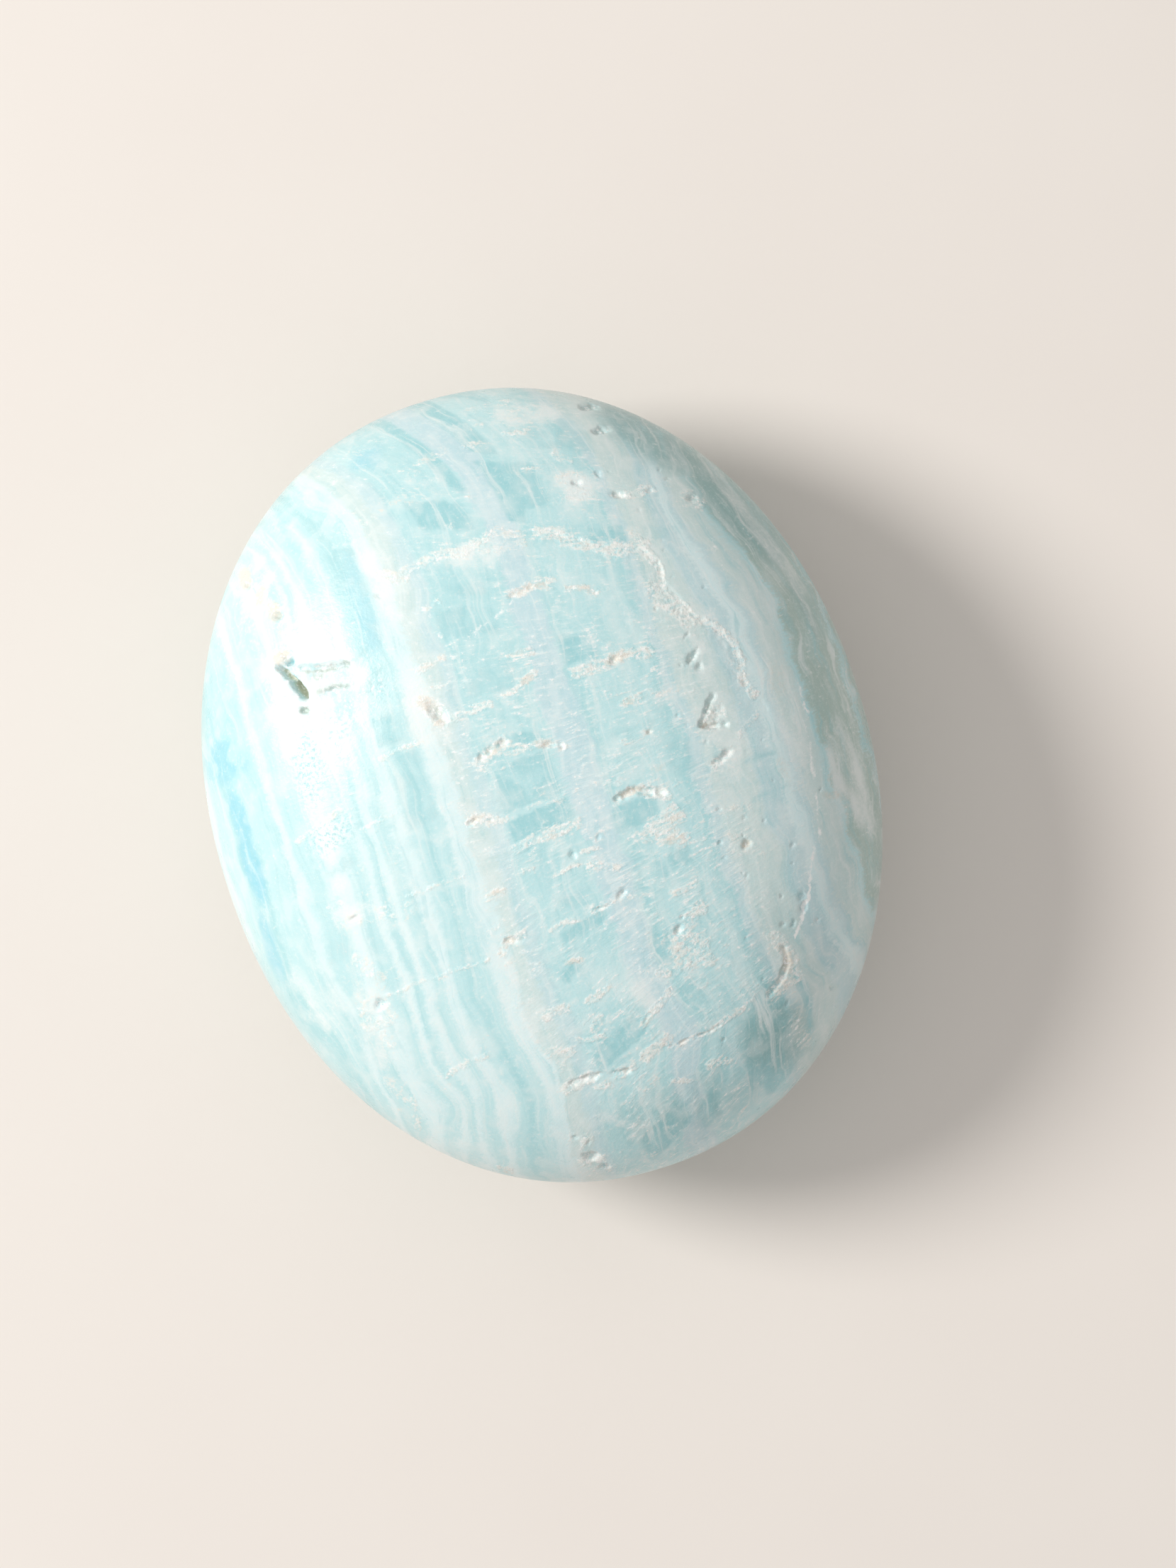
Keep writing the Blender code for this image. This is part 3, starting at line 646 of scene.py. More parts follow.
# The markings in the order in which they cover each other: the field that each follows, the values
# at which it starts and is full, its share of the colour, the field that weights it and its tone
MARKINGS = (
    ("block", 0.20, 0.75, 0.80, None, "deep"),
    ("sky", 0.0, 0.85, 0.90, None, "sky"),
    # painted shade of the right flank and the lower end
    ("painted_flank_shade", 0.0, 1.0, 0.85, None, "painted_flank_shade"),
    ("lines", 0.50, 0.72, 0.50, "line strength", "milk"),
    ("lines", 0.48, 0.30, 0.34, "line strength", "deep"),
    ("fibres", 0.46, 0.72, 0.75, "fibrous", "milk"),
    ("fibres", 0.48, 0.28, 0.22, "fibrous", "deep"),
    ("mottle", -0.10, 0.70, 0.32, None, "milk"),
    ("mottle", 0.0, -0.90, 0.25, None, "aqua"),
    ("grain", 0.50, 0.78, 0.35, None, "milk"),
    ("cloud", 0.18, 1.05, 0.80, None, "milk"),
    ("crystal", 0.40, 1.30, 0.80, None, "crystal"),
    ("grain", 0.52, 0.40, 0.95, "scaly", "deep"),
    ("crack", 0.25, 0.75, 0.90, None, "crack_white_and_painted_glint"),
    ("stain", 0.10, 0.90, 0.60, None, "bone"),
    # painted shade in the pits and under the ledges
    ("painted_shade", 0.10, 0.90, 0.80, None, "painted_shade"),
    # Painted shade: pits deeper than this turn dull grey, where shade falls inside them
    ("depth", 0.40, 0.90, 0.90, None, "hollow"),
)
MARKED_FIELDS = (
    "band", "fibre", "depth", "mottle", "fibrous", "block", "sky", "painted_flank_shade", "cloud",
    "crystal", "scaly", "crack", "stain", "painted_shade",
)
SPECKLED = {"block": 0.5, "cloud": 0.6, "crystal": 1.8, "crack": 1.2, "stain": 0.8, "painted_shade": 0.5}
CRYSTAL_STREAKS = 3.0      # how much the fibres streak the crystal in the breaks
BONE_BY_MOTTLE = (-0.1, 0.8, 0.0, 0.40)   # how beige this crystal is

# Polish, glitter and painted glints
POLISH = 0.30              # roughness of the polished surface
POLISH_CHANGE = 0.06       # how much the clouds change it
CRYSTAL_ROUGHNESS = 0.22   # how much rough crystal adds
PIT_ROUGHNESS = (0.02, 0.12)            # depths at which a pit's wall starts to be rough and is fully so
BRIGHT_FIBRES = (0.50, 0.66)
FACET_SIZE = 0.13
FACETS_IN_CRYSTAL = 0.20
FACETS_IN_FIBRES = 0.32
# Painted glints: the share of facets that get a white dot, and how strong it is
PAINTED_GLINT_SHARE = (0.84, 0.92)
PAINTED_GLINT_STRENGTH = 4.0
RELIEF = 0.04
FIBRE_RELIEF = (0.8, 0.2)
GRAIN_RELIEF = 0.3
CALCITE_IOR = 1.55
GLOW = 0.15
GLOW_REACH = (0.8, 1.0, 1.1)

# The floor
FLOOR_TONE = srgb(230, 223, 217)
FLOOR_TONE_2 = srgb(234, 228, 222)
FLOOR_HALF = 1.5
FLOOR_LUMP = 0.02
FLOOR_ROUGHNESS = 0.8

# The photograph: its size, the middle of the stone in it, its scale and how far the stone leans to
# the left in it
PHOTO_WIDTH = 1659
PHOTO_HEIGHT = 2212
STONE_MIDDLE = (764.6, 1107.5)
PIXELS_A_MILLIMETRE = 23.56
LEAN = 17.9
CAMERA_DISTANCE = 300.0
SENSOR = 36.0
NEAREST_SEEN = 0.01
FARTHEST_SEEN = 10.0

# The lamp and the surround
KEY_OFF_VERTICAL = 50.0
KEY_TURN = 12.0            # how far the lamp stands above the photograph's left, in degrees
KEY_DISTANCE = 600.0
KEY_SIZE = 0.22
KEY_POWER = 2.85
FILL_STRENGTH = 0.64
FILL_LOW_STRENGTH = 0.20   # the surround gets darker towards the horizon
FILL_TOP = 0.75            # height of its full strength, as the sine of the angle
KEY_COLOUR = (1.0, 0.98, 0.95)
FILL_COLOUR = (1.0, 0.98, 0.96, 1.0)


def smooth(value):
    """0 below 0 and 1 above 1, with a soft start and end."""
    t = np.clip(value, 0.0, 1.0)
    return t * t * (3.0 - 2.0 * t)


def polished(directions):
    """Points of the polished stone, one for each direction from its middle, before the flat spot is cut."""
    rise = np.where(directions[:, 2] > 0, CROWN, KEEL)
    outline = np.abs(directions[:, 0]) ** OUTLINE_POWER + np.abs(directions[:, 1]) ** OUTLINE_POWER
    total = outline ** (CROWN_POWER / OUTLINE_POWER) + np.abs(directions[:, 2]) ** CROWN_POWER
    reach = total ** (-1.0 / CROWN_POWER)
    half_widths = np.full(len(directions), HALF_WIDTH)
    half_lengths = np.full(len(directions), HALF_LENGTH)
    return directions * reach[:, None] * np.stack([half_widths, half_lengths, rise], axis=1)


def outline_share(x, y):
    """How far out each place is on the plan: 0 in the middle, 1 at the rim."""
    outline = np.abs(x / HALF_WIDTH) ** OUTLINE_POWER + np.abs(y / HALF_LENGTH) ** OUTLINE_POWER
    return outline ** (1.0 / OUTLINE_POWER)


def outward(points):
    """The direction straight out of the polished surface at each point."""
    x, y, z = points.T
    rise = np.where(z > 0, CROWN, KEEL)
    across, along, up = np.abs(x / HALF_WIDTH), np.abs(y / HALF_LENGTH), np.abs(z / rise)
    spread = np.maximum(outline_share(x, y), 1e-5) ** (CROWN_POWER - OUTLINE_POWER)
    slope = np.stack(
        [
            spread * across ** (OUTLINE_POWER - 1) * np.sign(x) / HALF_WIDTH,
            spread * along ** (OUTLINE_POWER - 1) * np.sign(y) / HALF_LENGTH,
            up ** (CROWN_POWER - 1) * np.sign(z) / rise,
        ],
        axis=1,
    )
    return slope / np.linalg.norm(slope, axis=1, keepdims=True)


def swell(points):
    """Slow unevenness of a stone ground by hand, in millimetres."""
    x, y, z = (points / HALF_LENGTH).T
    waves = 0.0
    for across, along, up, start in SWELL_WAVES:
        waves = waves + np.sin(across * x + along * y + up * z + start)
    off_rim = np.abs(points[:, 2]) / CROWN
    return SWELL * off_rim * waves / len(SWELL_WAVES)


def oval_reach(x, y, oval):
    """How far out in an oval each place is: 0 in its middle, 1 at its half length or half width."""
    across, along, half_length, half_width, turn = oval[:5]
    c, s = math.cos(math.radians(turn)), math.sin(math.radians(turn))
    lengthwise = (x - across) * c + (y - along) * s
    sideways = (y - along) * c - (x - across) * s
    return np.hypot(lengthwise / half_length, sideways / half_width)


def close_by(x, y, points, reach):
    """The numbers of the places within reach of the box around some points. Only they are measured."""
    low = np.min(points, axis=0) - reach
    high = np.max(points, axis=0) + reach
    return np.flatnonzero((x > low[0]) & (x < high[0]) & (y > low[1]) & (y < high[1]))


def line_reach(x, y, points):
    """Distance of each place from a line of points, and its side: above 0 on the line's right."""
    nearest = np.full(len(x), np.inf)
    side = np.zeros(len(x))
    for (x0, y0), (x1, y1) in zip(points, points[1:]):
        run, rise = x1 - x0, y1 - y0
        share = np.clip(((x - x0) * run + (y - y0) * rise) / (run * run + rise * rise), 0.0, 1.0)
        away_x, away_y = x - x0 - share * run, y - y0 - share * rise
        distance = np.hypot(away_x, away_y)
        closer = distance < nearest
        nearest = np.where(closer, distance, nearest)
        side = np.where(closer, np.sign(away_x * rise - away_y * run), side)
    return nearest, side


def end_fade(x, y, points, length):
    """1 along a line of points, falling to 0 at its two ends."""
    first = np.hypot(x - points[0][0], y - points[0][1])
    last = np.hypot(x - points[-1][0], y - points[-1][1])
    return smooth(first / length) * smooth(last / length)


def chip_distance(points):
    """Distance of each point from the middle of the chip in the rim."""
    return np.linalg.norm(points - np.array([CHIP_ACROSS, CHIP_ALONG, 0.0]), axis=1)


def fibre_slope(along):
    """How steeply the fibres rise to the right, which fans them out towards the stone's ends."""
    return FIBRE_LEAN - FIBRE_FAN * along


def scattered_dashes(rng, count, across_limits):
    """Short breaks along the fibres at random places: (half width, strength, points)."""
    dashes = []
    while len(dashes) < count:
        across = rng.uniform(*across_limits)
        along = rng.uniform(-HALF_LENGTH, HALF_LENGTH)
        half_length = rng.uniform(*DASH_HALF_LENGTH)
        half_width = rng.uniform(*DASH_HALF_WIDTH)
        strength = rng.uniform(*DASH_STRENGTH)
        rise = half_length * (fibre_slope(along) + rng.uniform(*DASH_SLANT))
        if outline_share(across, along) < DASH_LIMIT:
            ends = ((across - half_length, along - rise), (across + half_length, along + rise))
            dashes.append((half_width, strength, ends))
    return dashes


def scattered_pits(rng, count, across_limits):
    """Small open pits at random places, as PITS has them."""
    pits = []
    while len(pits) < count:
        across = rng.uniform(*across_limits)
        along = rng.uniform(-HALF_LENGTH, HALF_LENGTH)
        half_length = rng.uniform(*PIT_HALF_LENGTH)
        half_width = half_length * rng.uniform(*PIT_SLIMNESS)
        turn = rng.uniform(*PIT_TURN)
        depth = half_width * rng.uniform(*PIT_STEEPNESS)
        if outline_share(across, along) < PIT_LIMIT:
            pits.append((across, along, half_length, half_width, turn, depth))
    return pits


def all_marks():
    """The marks of the upper face and of the underside, named ones first and then the scattered ones."""
    rng = np.random.default_rng(SCATTER_SEED)
    breaks = [stroke for region in CRYSTAL_BREAKS.values() for stroke in region]
    named = [(*pit[:5], pit[5] if pit[5] > OPEN_PIT else pit[5] * PART_FILLED) for pit in PITS.values()]
    upper = {
        "pits": [*named, *scattered_pits(rng, *FRONT_PITS)],
        "breaks": [*breaks, *scattered_dashes(rng, *FRONT_DASHES), *scattered_dashes(rng, *LEFT_DASHES)],
    }
    under = {
        "pits": scattered_pits(rng, *HIDDEN_PITS),
        "breaks": scattered_dashes(rng, *HIDDEN_DASHES),
    }
    return upper, under


def ragged(points, size, reach):
    """Places nudged by noise of that size, up to that reach, so that marks get broken outlines."""
    nudges = np.array([noise.noise_vector(Vector(point) / size) for point in points])
    return points + reach * nudges


def unevenness(points, size, octaves=1):
    """Noise from about -1 to 1 at each point. Each further octave adds lumps half as large."""
    places = [Vector(point) / size for point in points]
    return np.array([noise.fractal(place, ROUGHNESS_FALL, 2.0, octaves) for place in places])


def pit_depth(x, y, pits):
    """How deep the pits are at each place, and 0 outside them."""
    depth = np.zeros(len(x))
    for pit in pits:
        near = close_by(x, y, [pit[:2]], PIT_RIM * pit[2])
        inside = smooth(PIT_RIM - oval_reach(x[near], y[near], pit))
        depth[near] = np.maximum(depth[near], pit[5] * inside)
    return depth


def break_depth(x, y, patchy):
    """How deep the long breaks and the steps are. Shallow breaks are open here and there only."""
    depth = np.zeros(len(x))
    for half_width, groove_depth, line in GROOVES.values():
        distance, _ = line_reach(x, y, line)
        opened = OPEN_ALWAYS + (1.0 - OPEN_ALWAYS) * patchy if groove_depth > SHALLOW else patchy
        depth = np.maximum(depth, groove_depth * opened * smooth(PIT_RIM - distance / half_width))
    for drop, run, line in STEPS.values():
        distance, side = line_reach(x, y, line)
        edge = smooth(0.5 + side * distance / STEP_EDGE)
        back = np.exp(-distance / run)
        depth = np.maximum(depth, drop * edge * back * end_fade(x, y, line, run))
    return depth


def stroke_field(x, y, strokes):
    """1 on the middle of a stroke of full strength, and a faint milky rim that falls to 0 farther out."""
    field = np.zeros(len(x))
    for half_width, strength, line in strokes:
        near = close_by(x, y, line, half_width * RIM_REACH)
        reach = line_reach(x[near], y[near], line)[0] / half_width
        core = smooth(CORE_SOFTNESS * (CORE_REACH - reach))
        rim = RIM_STRENGTH * smooth((RIM_REACH - reach) / (RIM_REACH - 1.0))
        field[near] = np.maximum(field[near], strength * np.maximum(core, rim))
    return field


def oval_field(x, y, ovals):
    """1 in the middle of an oval patch of full strength, falling to 0 past its edge."""
    field = np.zeros(len(x))
    for oval in ovals:
        near = close_by(x, y, [oval[:2]], OVAL_RIM * max(oval[2:4]))
        inside = smooth(OVAL_RIM - oval_reach(x[near], y[near], oval))
        field[near] = np.maximum(field[near], oval[5] * inside)
    return field


def block_field(band, x, y, blocks):
    """1 inside a block of full strength, and 0 outside. Its edges follow the bands and the fibres."""
    field = np.zeros(len(x))
    for across, along, half_width, half_height, strength in blocks:
        level = y - along - (x - across) * fibre_slope(along)
        sideways = smooth(0.5 + (half_width - np.abs(band - across)) / BLOCK_SIDE_EDGE)
        lengthwise = smooth(0.5 + (half_height - np.abs(level)) / BLOCK_END_EDGE)
        field = np.maximum(field, strength * sideways * lengthwise)
    return field


def dome_height(x, y):
    """Height of the polished upper face over the widest level."""
    return CROWN * np.maximum(1.0 - outline_share(x, y) ** CROWN_POWER, 0.0) ** (1.0 / CROWN_POWER)


def band_place(x, y, z):
    """Where each point lies among the bands, in millimetres across the middle of the upper face."""
    top = np.maximum(y - TOP_BEND_START, 0.0) / TOP_BEND_LENGTH
    swing = TOP_BEND * top ** 2 * (1.0 - TOP_BEND_EASE * x)
    kink = LOW_KINK * np.exp(-(((y - LOW_KINK_PLACE) / LOW_KINK_REACH) ** 2))
    flank = [smooth((start - value) / length)
             for value, start, length in zip((x, y), FLANK_SQUEEZE_START, FLANK_SQUEEZE_LENGTH)]
    shoulder = [smooth((value - start) / length)
                for value, start, length in zip((x, y), SHOULDER_SQUEEZE_START, SHOULDER_SQUEEZE_LENGTH)]
    squeeze = FLANK_SQUEEZE * flank[0] * flank[1] + SHOULDER_SQUEEZE * shoulder[0] * shoulder[1]
    below = dome_height(x, y) - z
    return x + swing + kink + squeeze - SHEET_TILT * below


def fibre_place(x, y, z):
    """Where each point lies along the stone, counted so that a fibre keeps one value."""
    below = dome_height(x, y) - z
    return y + x * (FIBRE_FAN * y - FIBRE_LEAN) + FIBRE_TILT * below


def weaker_before(value, place, length, share):
    """1 well before a place, easing down over that length to a share that is left past it."""
    return share + (1.0 - share) * smooth((place - value) / length)


def nearest_mark(points, upper, under, shallowest):
    """Distance of each point from the edge of the nearest pit, break or step at least that deep."""
    x, y, z = points.T
    sides = []
    for marks in (upper, under):
        nearest = np.full(len(points), np.inf)
        for pit in marks["pits"]:
            if pit[5] >= shallowest:
                near = close_by(x, y, [pit[:2]], 2.0 * pit[2] + NEAR_REACH)
                past_edge = (oval_reach(x[near], y[near], pit) - 1.0) * pit[3]
                nearest[near] = np.minimum(nearest[near], past_edge)
        sides.append(nearest)
    above, below = sides
    lines = [*GROOVES.values(), *((STEP_EDGE / 2, drop, line) for drop, _, line in STEPS.values())]
    for half_width, depth, line in lines:
        if depth >= shallowest:
            above = np.minimum(above, line_reach(x, y, line)[0] - half_width)
    nearest = np.where(z > 0, above, below)
    if CHIP_DEPTH >= shallowest:
        nearest = np.minimum(nearest, chip_distance(points) - CHIP_RADIUS)
    return nearest


def in_crystal(points, strokes):
    """Whether each point of the upper face is in rough crystal or in a scaly patch."""
    x, y, z = points.T
    rough = np.maximum(stroke_field(x, y, strokes), oval_field(x, y, SOFT_PATCHES["scaly"]))
    return (rough > ROUGH_START) & (z > 0)


def wanted_edge(points, upper, under):
    """How long an edge may be at each point."""
    distance = nearest_mark(points, upper, under, 0.0)
    wanted = np.where(distance < NEAR_REACH, NEAR_EDGE, np.inf)
    named_breaks = [stroke for region in CRYSTAL_BREAKS.values() for stroke in region]
    wanted = np.where(in_crystal(points, named_breaks), CRYSTAL_EDGE, wanted)
    wanted = np.where(distance < MARK_REACH, MARK_EDGE, wanted)
    return np.where(nearest_mark(points, upper, under, DEEP) < MARK_REACH, DEEP_EDGE, wanted)


def split_where_fine(bm, upper, under):
    """Splits the edges that are too long for the marks near them. Points stay on the unit sphere."""
    all_axes = {"use_axis_x": True, "use_axis_y": True, "use_axis_z": True}
    for _ in range(ROUNDS_OF_SPLITTING):
        edges = list(bm.edges)
        starts = polished(np.array([edge.verts[0].co for edge in edges]))
        ends = polished(np.array([edge.verts[1].co for edge in edges]))
        lengths = np.linalg.norm(ends - starts, axis=1)
        too_long = lengths > wanted_edge((starts + ends) / 2, upper, under)
        if not too_long.any():
            break
        chosen = [edge for edge, is_long in zip(edges, too_long) if is_long]
        bmesh.ops.subdivide_edges(bm, edges=chosen, cuts=1)
        bmesh.ops.triangulate(bm, faces=bm.faces[:])
        bmesh.ops.beautify_fill(bm, faces=bm.faces[:], edges=bm.edges[:])
        bmesh.ops.smooth_vert(bm, verts=bm.verts[:], factor=EVENING, **all_axes)
        for vert in bm.verts:
            vert.co.normalize()


def carve(surface, upper, under):
    """How far each point is lowered, in millimetres, and the fields that the material reads."""
    x, y, z = surface.T
    face_up = z > 0
    broken = surface
    for size, reach in OUTLINE_LUMPS:
        broken = ragged(broken, size, reach)
    broken_x, broken_y = broken[:, 0], broken[:, 1]
    coarse = unevenness(surface, COARSE_LUMP)
    fine = unevenness(surface, FINE_LUMP)
    patchy = smooth(PATCH_LEVEL + PATCH_CONTRAST * unevenness(surface, PATCH_LUMP, 2))
    upper_pits = pit_depth(broken_x, broken_y, upper["pits"])
    under_pits = pit_depth(x, y, under["pits"])
    pits = np.where(face_up, upper_pits, under_pits)
    breaks = np.where(face_up, break_depth(broken_x, broken_y, patchy), 0.0)
    depth = np.maximum(pits, breaks)
    chip = CHIP_DEPTH * smooth(CHIP_RIM - chip_distance(surface) / CHIP_RADIUS)

    upper_crystal = stroke_field(broken_x, broken_y, upper["breaks"])
    under_crystal = stroke_field(broken_x, broken_y, under["breaks"])
    crystal = np.where(face_up, upper_crystal, under_crystal) * (CRYSTAL_EVEN + CRYSTAL_PATCHY * patchy)
    # clouds, scaly and blue patches, and the painted shade of the right flank and the lower end
    soft = {name: face_up * oval_field(x, y, ovals) for name, ovals in SOFT_PATCHES.items()}
    # stains, and the painted shade in the pits and under the ledges
    spots = {
        name: face_up * oval_field(broken_x, broken_y, ovals)
        for name, ovals in RAGGED_PATCHES.items()
    }
    scaly = soft["scaly"]
    standing = np.hypot(x - CRYSTAL_ACROSS, y - CRYSTAL_ALONG) / CRYSTAL_RADIUS
    nub = np.where(face_up, smooth(1.0 - standing), 0.0)

    scales = unevenness(surface * SCALE_SQUASH, SCALE_LUMP)
    core = smooth(GRIT_GROWTH * (crystal - GRIT_START))
    grit = core * (CRYSTAL_GRIT[0] * coarse + CRYSTAL_GRIT[1] * fine + CRYSTAL_GRIT[2])
    walls = smooth(depth / WALL_DEPTH) * (WALL_GRIT[0] * coarse + WALL_GRIT[1] * fine)
    lifted = grit + walls + scaly * SCALE_HEIGHT * scales + nub * (CRYSTAL_HEIGHT + NUB_GRIT * fine)
    lowered = depth + chip - lifted

    band = band_place(x, y, z)
    fibre = fibre_place(x, y, z)
    sheets = np.stack([band, fibre, z], axis=1)
    wander = unevenness(sheets * BAND_GRAIN, 1.0, 2)
    drawn_out = unevenness(sheets * FLANK_GRAIN, MILK_LUMP, 4)
    flank = smooth((x - FLANK_START) / FLANK_LENGTH)
    cloudy = (1.0 - flank) * unevenness(surface, MILK_LUMP, 4) + flank * drawn_out
    mottle = (1.0 - flank) * unevenness(surface + OTHER_PLACE, MOTTLE_LUMP, 4) + flank * drawn_out
    block = face_up * block_field(band, broken_x, broken_y, DEEP_BLOCKS)
    fibrous = smooth((band - FIBRES_START) / FIBRES_START_LENGTH)
    fibrous = fibrous * weaker_before(band, *FIBRES_RIGHT) * weaker_before(y, *FIBRES_UPPER)
    clumps = unevenness(sheets * BAND_GRAIN + THIRD_PLACE, CLUMP_LUMP, 2)
    clumps = np.maximum(CLUMP_LEVEL + clumps, CLUMP_LEAST)
    crack = face_up * stroke_field(broken_x, broken_y, CRACKS)
    fields = {
        "band": band + BAND_WANDER * wander,
        "fibre": fibre + FIBRE_WANDER * unevenness(surface, SLOW_LUMP),
        "depth": np.maximum(depth, chip),
        "crystal": crystal,
        "rough": np.maximum(core, SCALE_ROUGHNESS * scaly),
        "scaly": scaly,
        "crack": crack * (CRACK_EVEN + CRACK_PATCHY * patchy),
        "cloud": soft["cloud"] + CLOUD_NOISE * cloudy,
        "mottle": mottle,
        "flank": flank,
        "block": block + BLOCK_NOISE * mottle,
        "fibrous": fibrous * (1.0 - (1.0 - FIBRES_IN_BLOCKS) * smooth(block)) * clumps,
        "sky": soft["sky"] + PATCH_NOISE * cloudy,
        # painted shade of the right flank and the lower end
        "painted_flank_shade": soft["painted_flank_shade"] + PATCH_NOISE * drawn_out,
        **spots,
    }
    return lowered, fields


def make_stone():
    """The fine surface of the stone as one closed mesh, with its fields."""
    noise.seed_set(OUTLINE_SEED)
    upper, under = all_marks()
    bm = bmesh.new()
    bmesh.ops.create_icosphere(bm, subdivisions=SPHERE_CUTS, radius=1.0)
    split_where_fine(bm, upper, under)
    surface = polished(np.array([vert.co for vert in bm.verts], dtype=float))
    lowered, fields = carve(surface, upper, under)
    points = surface - outward(surface) * (lowered - swell(surface))[:, None]
    points[:, 2] = np.maximum(points[:, 2] + RIM_HEIGHT, 0.0)
    for vert, point in zip(bm.verts, points):
        vert.co = point * MILLIMETRE
    bmesh.ops.recalc_face_normals(bm, faces=bm.faces[:])
    mesh = bpy.data.meshes.new("palm_stone_surface")
    bm.to_mesh(mesh)
    bm.free()
    mesh.shade_smooth()
    for name, values in fields.items():
        attribute = mesh.attributes.new(name, "FLOAT", "POINT")
        attribute.data.foreach_set("value", values.astype(np.float32))
    stone = bpy.data.objects.new("palm_stone_surface", mesh)
    bpy.context.scene.collection.objects.link(stone)
    return stone


class Finish:
    """Short calls that add nodes to one material and join them."""

    def __init__(self, name):
        self.material = bpy.data.materials.new(name)
        self.material.use_nodes = True
        self.tree = self.material.node_tree
        self.shader = self.tree.nodes["Principled BSDF"]

    def feed(self, socket, value):
        """Joins a socket to another one, or sets its value."""
        if isinstance(value, bpy.types.NodeSocket):
            self.tree.links.new(value, socket)
        else:
            socket.default_value = value

    def node(self, kind, inputs, **settings):
        """A new node with its settings, and its inputs by name or number."""
        made = self.tree.nodes.new(kind)
        for name, value in settings.items():
            setattr(made, name, value)
        for key, value in inputs.items():
            self.feed(made.inputs[key], value)
        return made

    def field(self, name):
        """One of the mesh's fields."""
        return self.node("ShaderNodeAttribute", {}, attribute_name=name).outputs["Fac"]

    def calc(self, operation, *values):
        """A sum, product or the like of numbers."""
        return self.node("ShaderNodeMath", dict(enumerate(values)), operation=operation).outputs[0]

    def times(self, first, *others):
        """The product of two or more numbers."""
        for other in others:
            first = self.calc("MULTIPLY", first, other)
        return first

    def place(self, x, y, z):
        """A place from its three numbers."""
        return self.node("ShaderNodeCombineXYZ", {0: x, 1: y, 2: z}).outputs[0]

    def soft_step(self, value, low, high, to_low=0.0, to_high=1.0):
        """A value turned smoothly from one range to another, and held at its ends."""
        inputs = {0: value, 1: low, 2: high, 3: to_low, 4: to_high}
        return self.node("ShaderNodeMapRange", inputs, interpolation_type="SMOOTHSTEP").outputs[0]

    def noise(self, place, size, detail=2.0, roughness=0.5):
        """Noise from 0 to 1 whose lumps have that size."""
        inputs = {"Vector": place, "Scale": 1.0 / size, "Detail": detail, "Roughness": roughness}
        return self.node("ShaderNodeTexNoise", inputs).outputs[0]

    def cells(self, place, size):
        """A random colour for each small grain of that size."""
        return self.node("ShaderNodeTexVoronoi", {"Vector": place, "Scale": 1.0 / size}).outputs["Color"]

    def mix(self, share, first, second):
        """The first colour, with that share of the second."""
        return self.node("ShaderNodeMix", {0: share, 6: first, 7: second}, data_type="RGBA").outputs[2]

    def ramp(self, value, low, high, stops):
        """A colour for each value from low to high, from (value, colour) stops."""
        share = self.node("ShaderNodeMapRange", {0: value, 1: low, 2: high}).outputs[0]
        made = self.node("ShaderNodeValToRGB", {0: share})
        elements = made.color_ramp.elements
        elements[0].position, elements[0].color = 0.0, stops[0][1]
        elements[1].position, elements[1].color = 1.0, stops[-1][1]
        for at, colour in stops[1:-1]:
            element = elements.new((at - low) / (high - low))
            element.color = colour
        return made.outputs[0]


def steps_ramp(finish, value, steps, end, edge):
    """One colour for each step, from (start, colour) steps in rising order, by one or more ramps."""
    colour = None
    for first in range(0, len(steps), BANDS_IN_A_RAMP):
        group = steps[first:first + BANDS_IN_A_RAMP]
        after = steps[first + BANDS_IN_A_RAMP][0] if first + BANDS_IN_A_RAMP < len(steps) else end
        starts = [start for start, _ in group]
        stops = []
        for start, stop, (_, tone) in zip(starts, [*starts[1:], after], group):
            stops += [(start + edge / 2, tone), (stop - edge / 2, tone)]
        part = finish.ramp(value, starts[0] + edge / 2, after - edge / 2, stops)
        if colour is None:
            colour = part
        else:
            share = finish.soft_step(value, starts[0] - edge / 2, starts[0] + edge / 2)
            colour = finish.mix(share, colour, part)
    return colour


def block_tones(rng):
    """A random darkness for each block between two break levels, as grey colours."""
    steps = [(LEVELS_START, (0.5, 0.5, 0.5, 1.0))]
    for level in BREAK_LEVELS:
        grey = rng.uniform(0.0, 1.0)
        steps.append((level, (grey, grey, grey, 1.0)))
    return steps


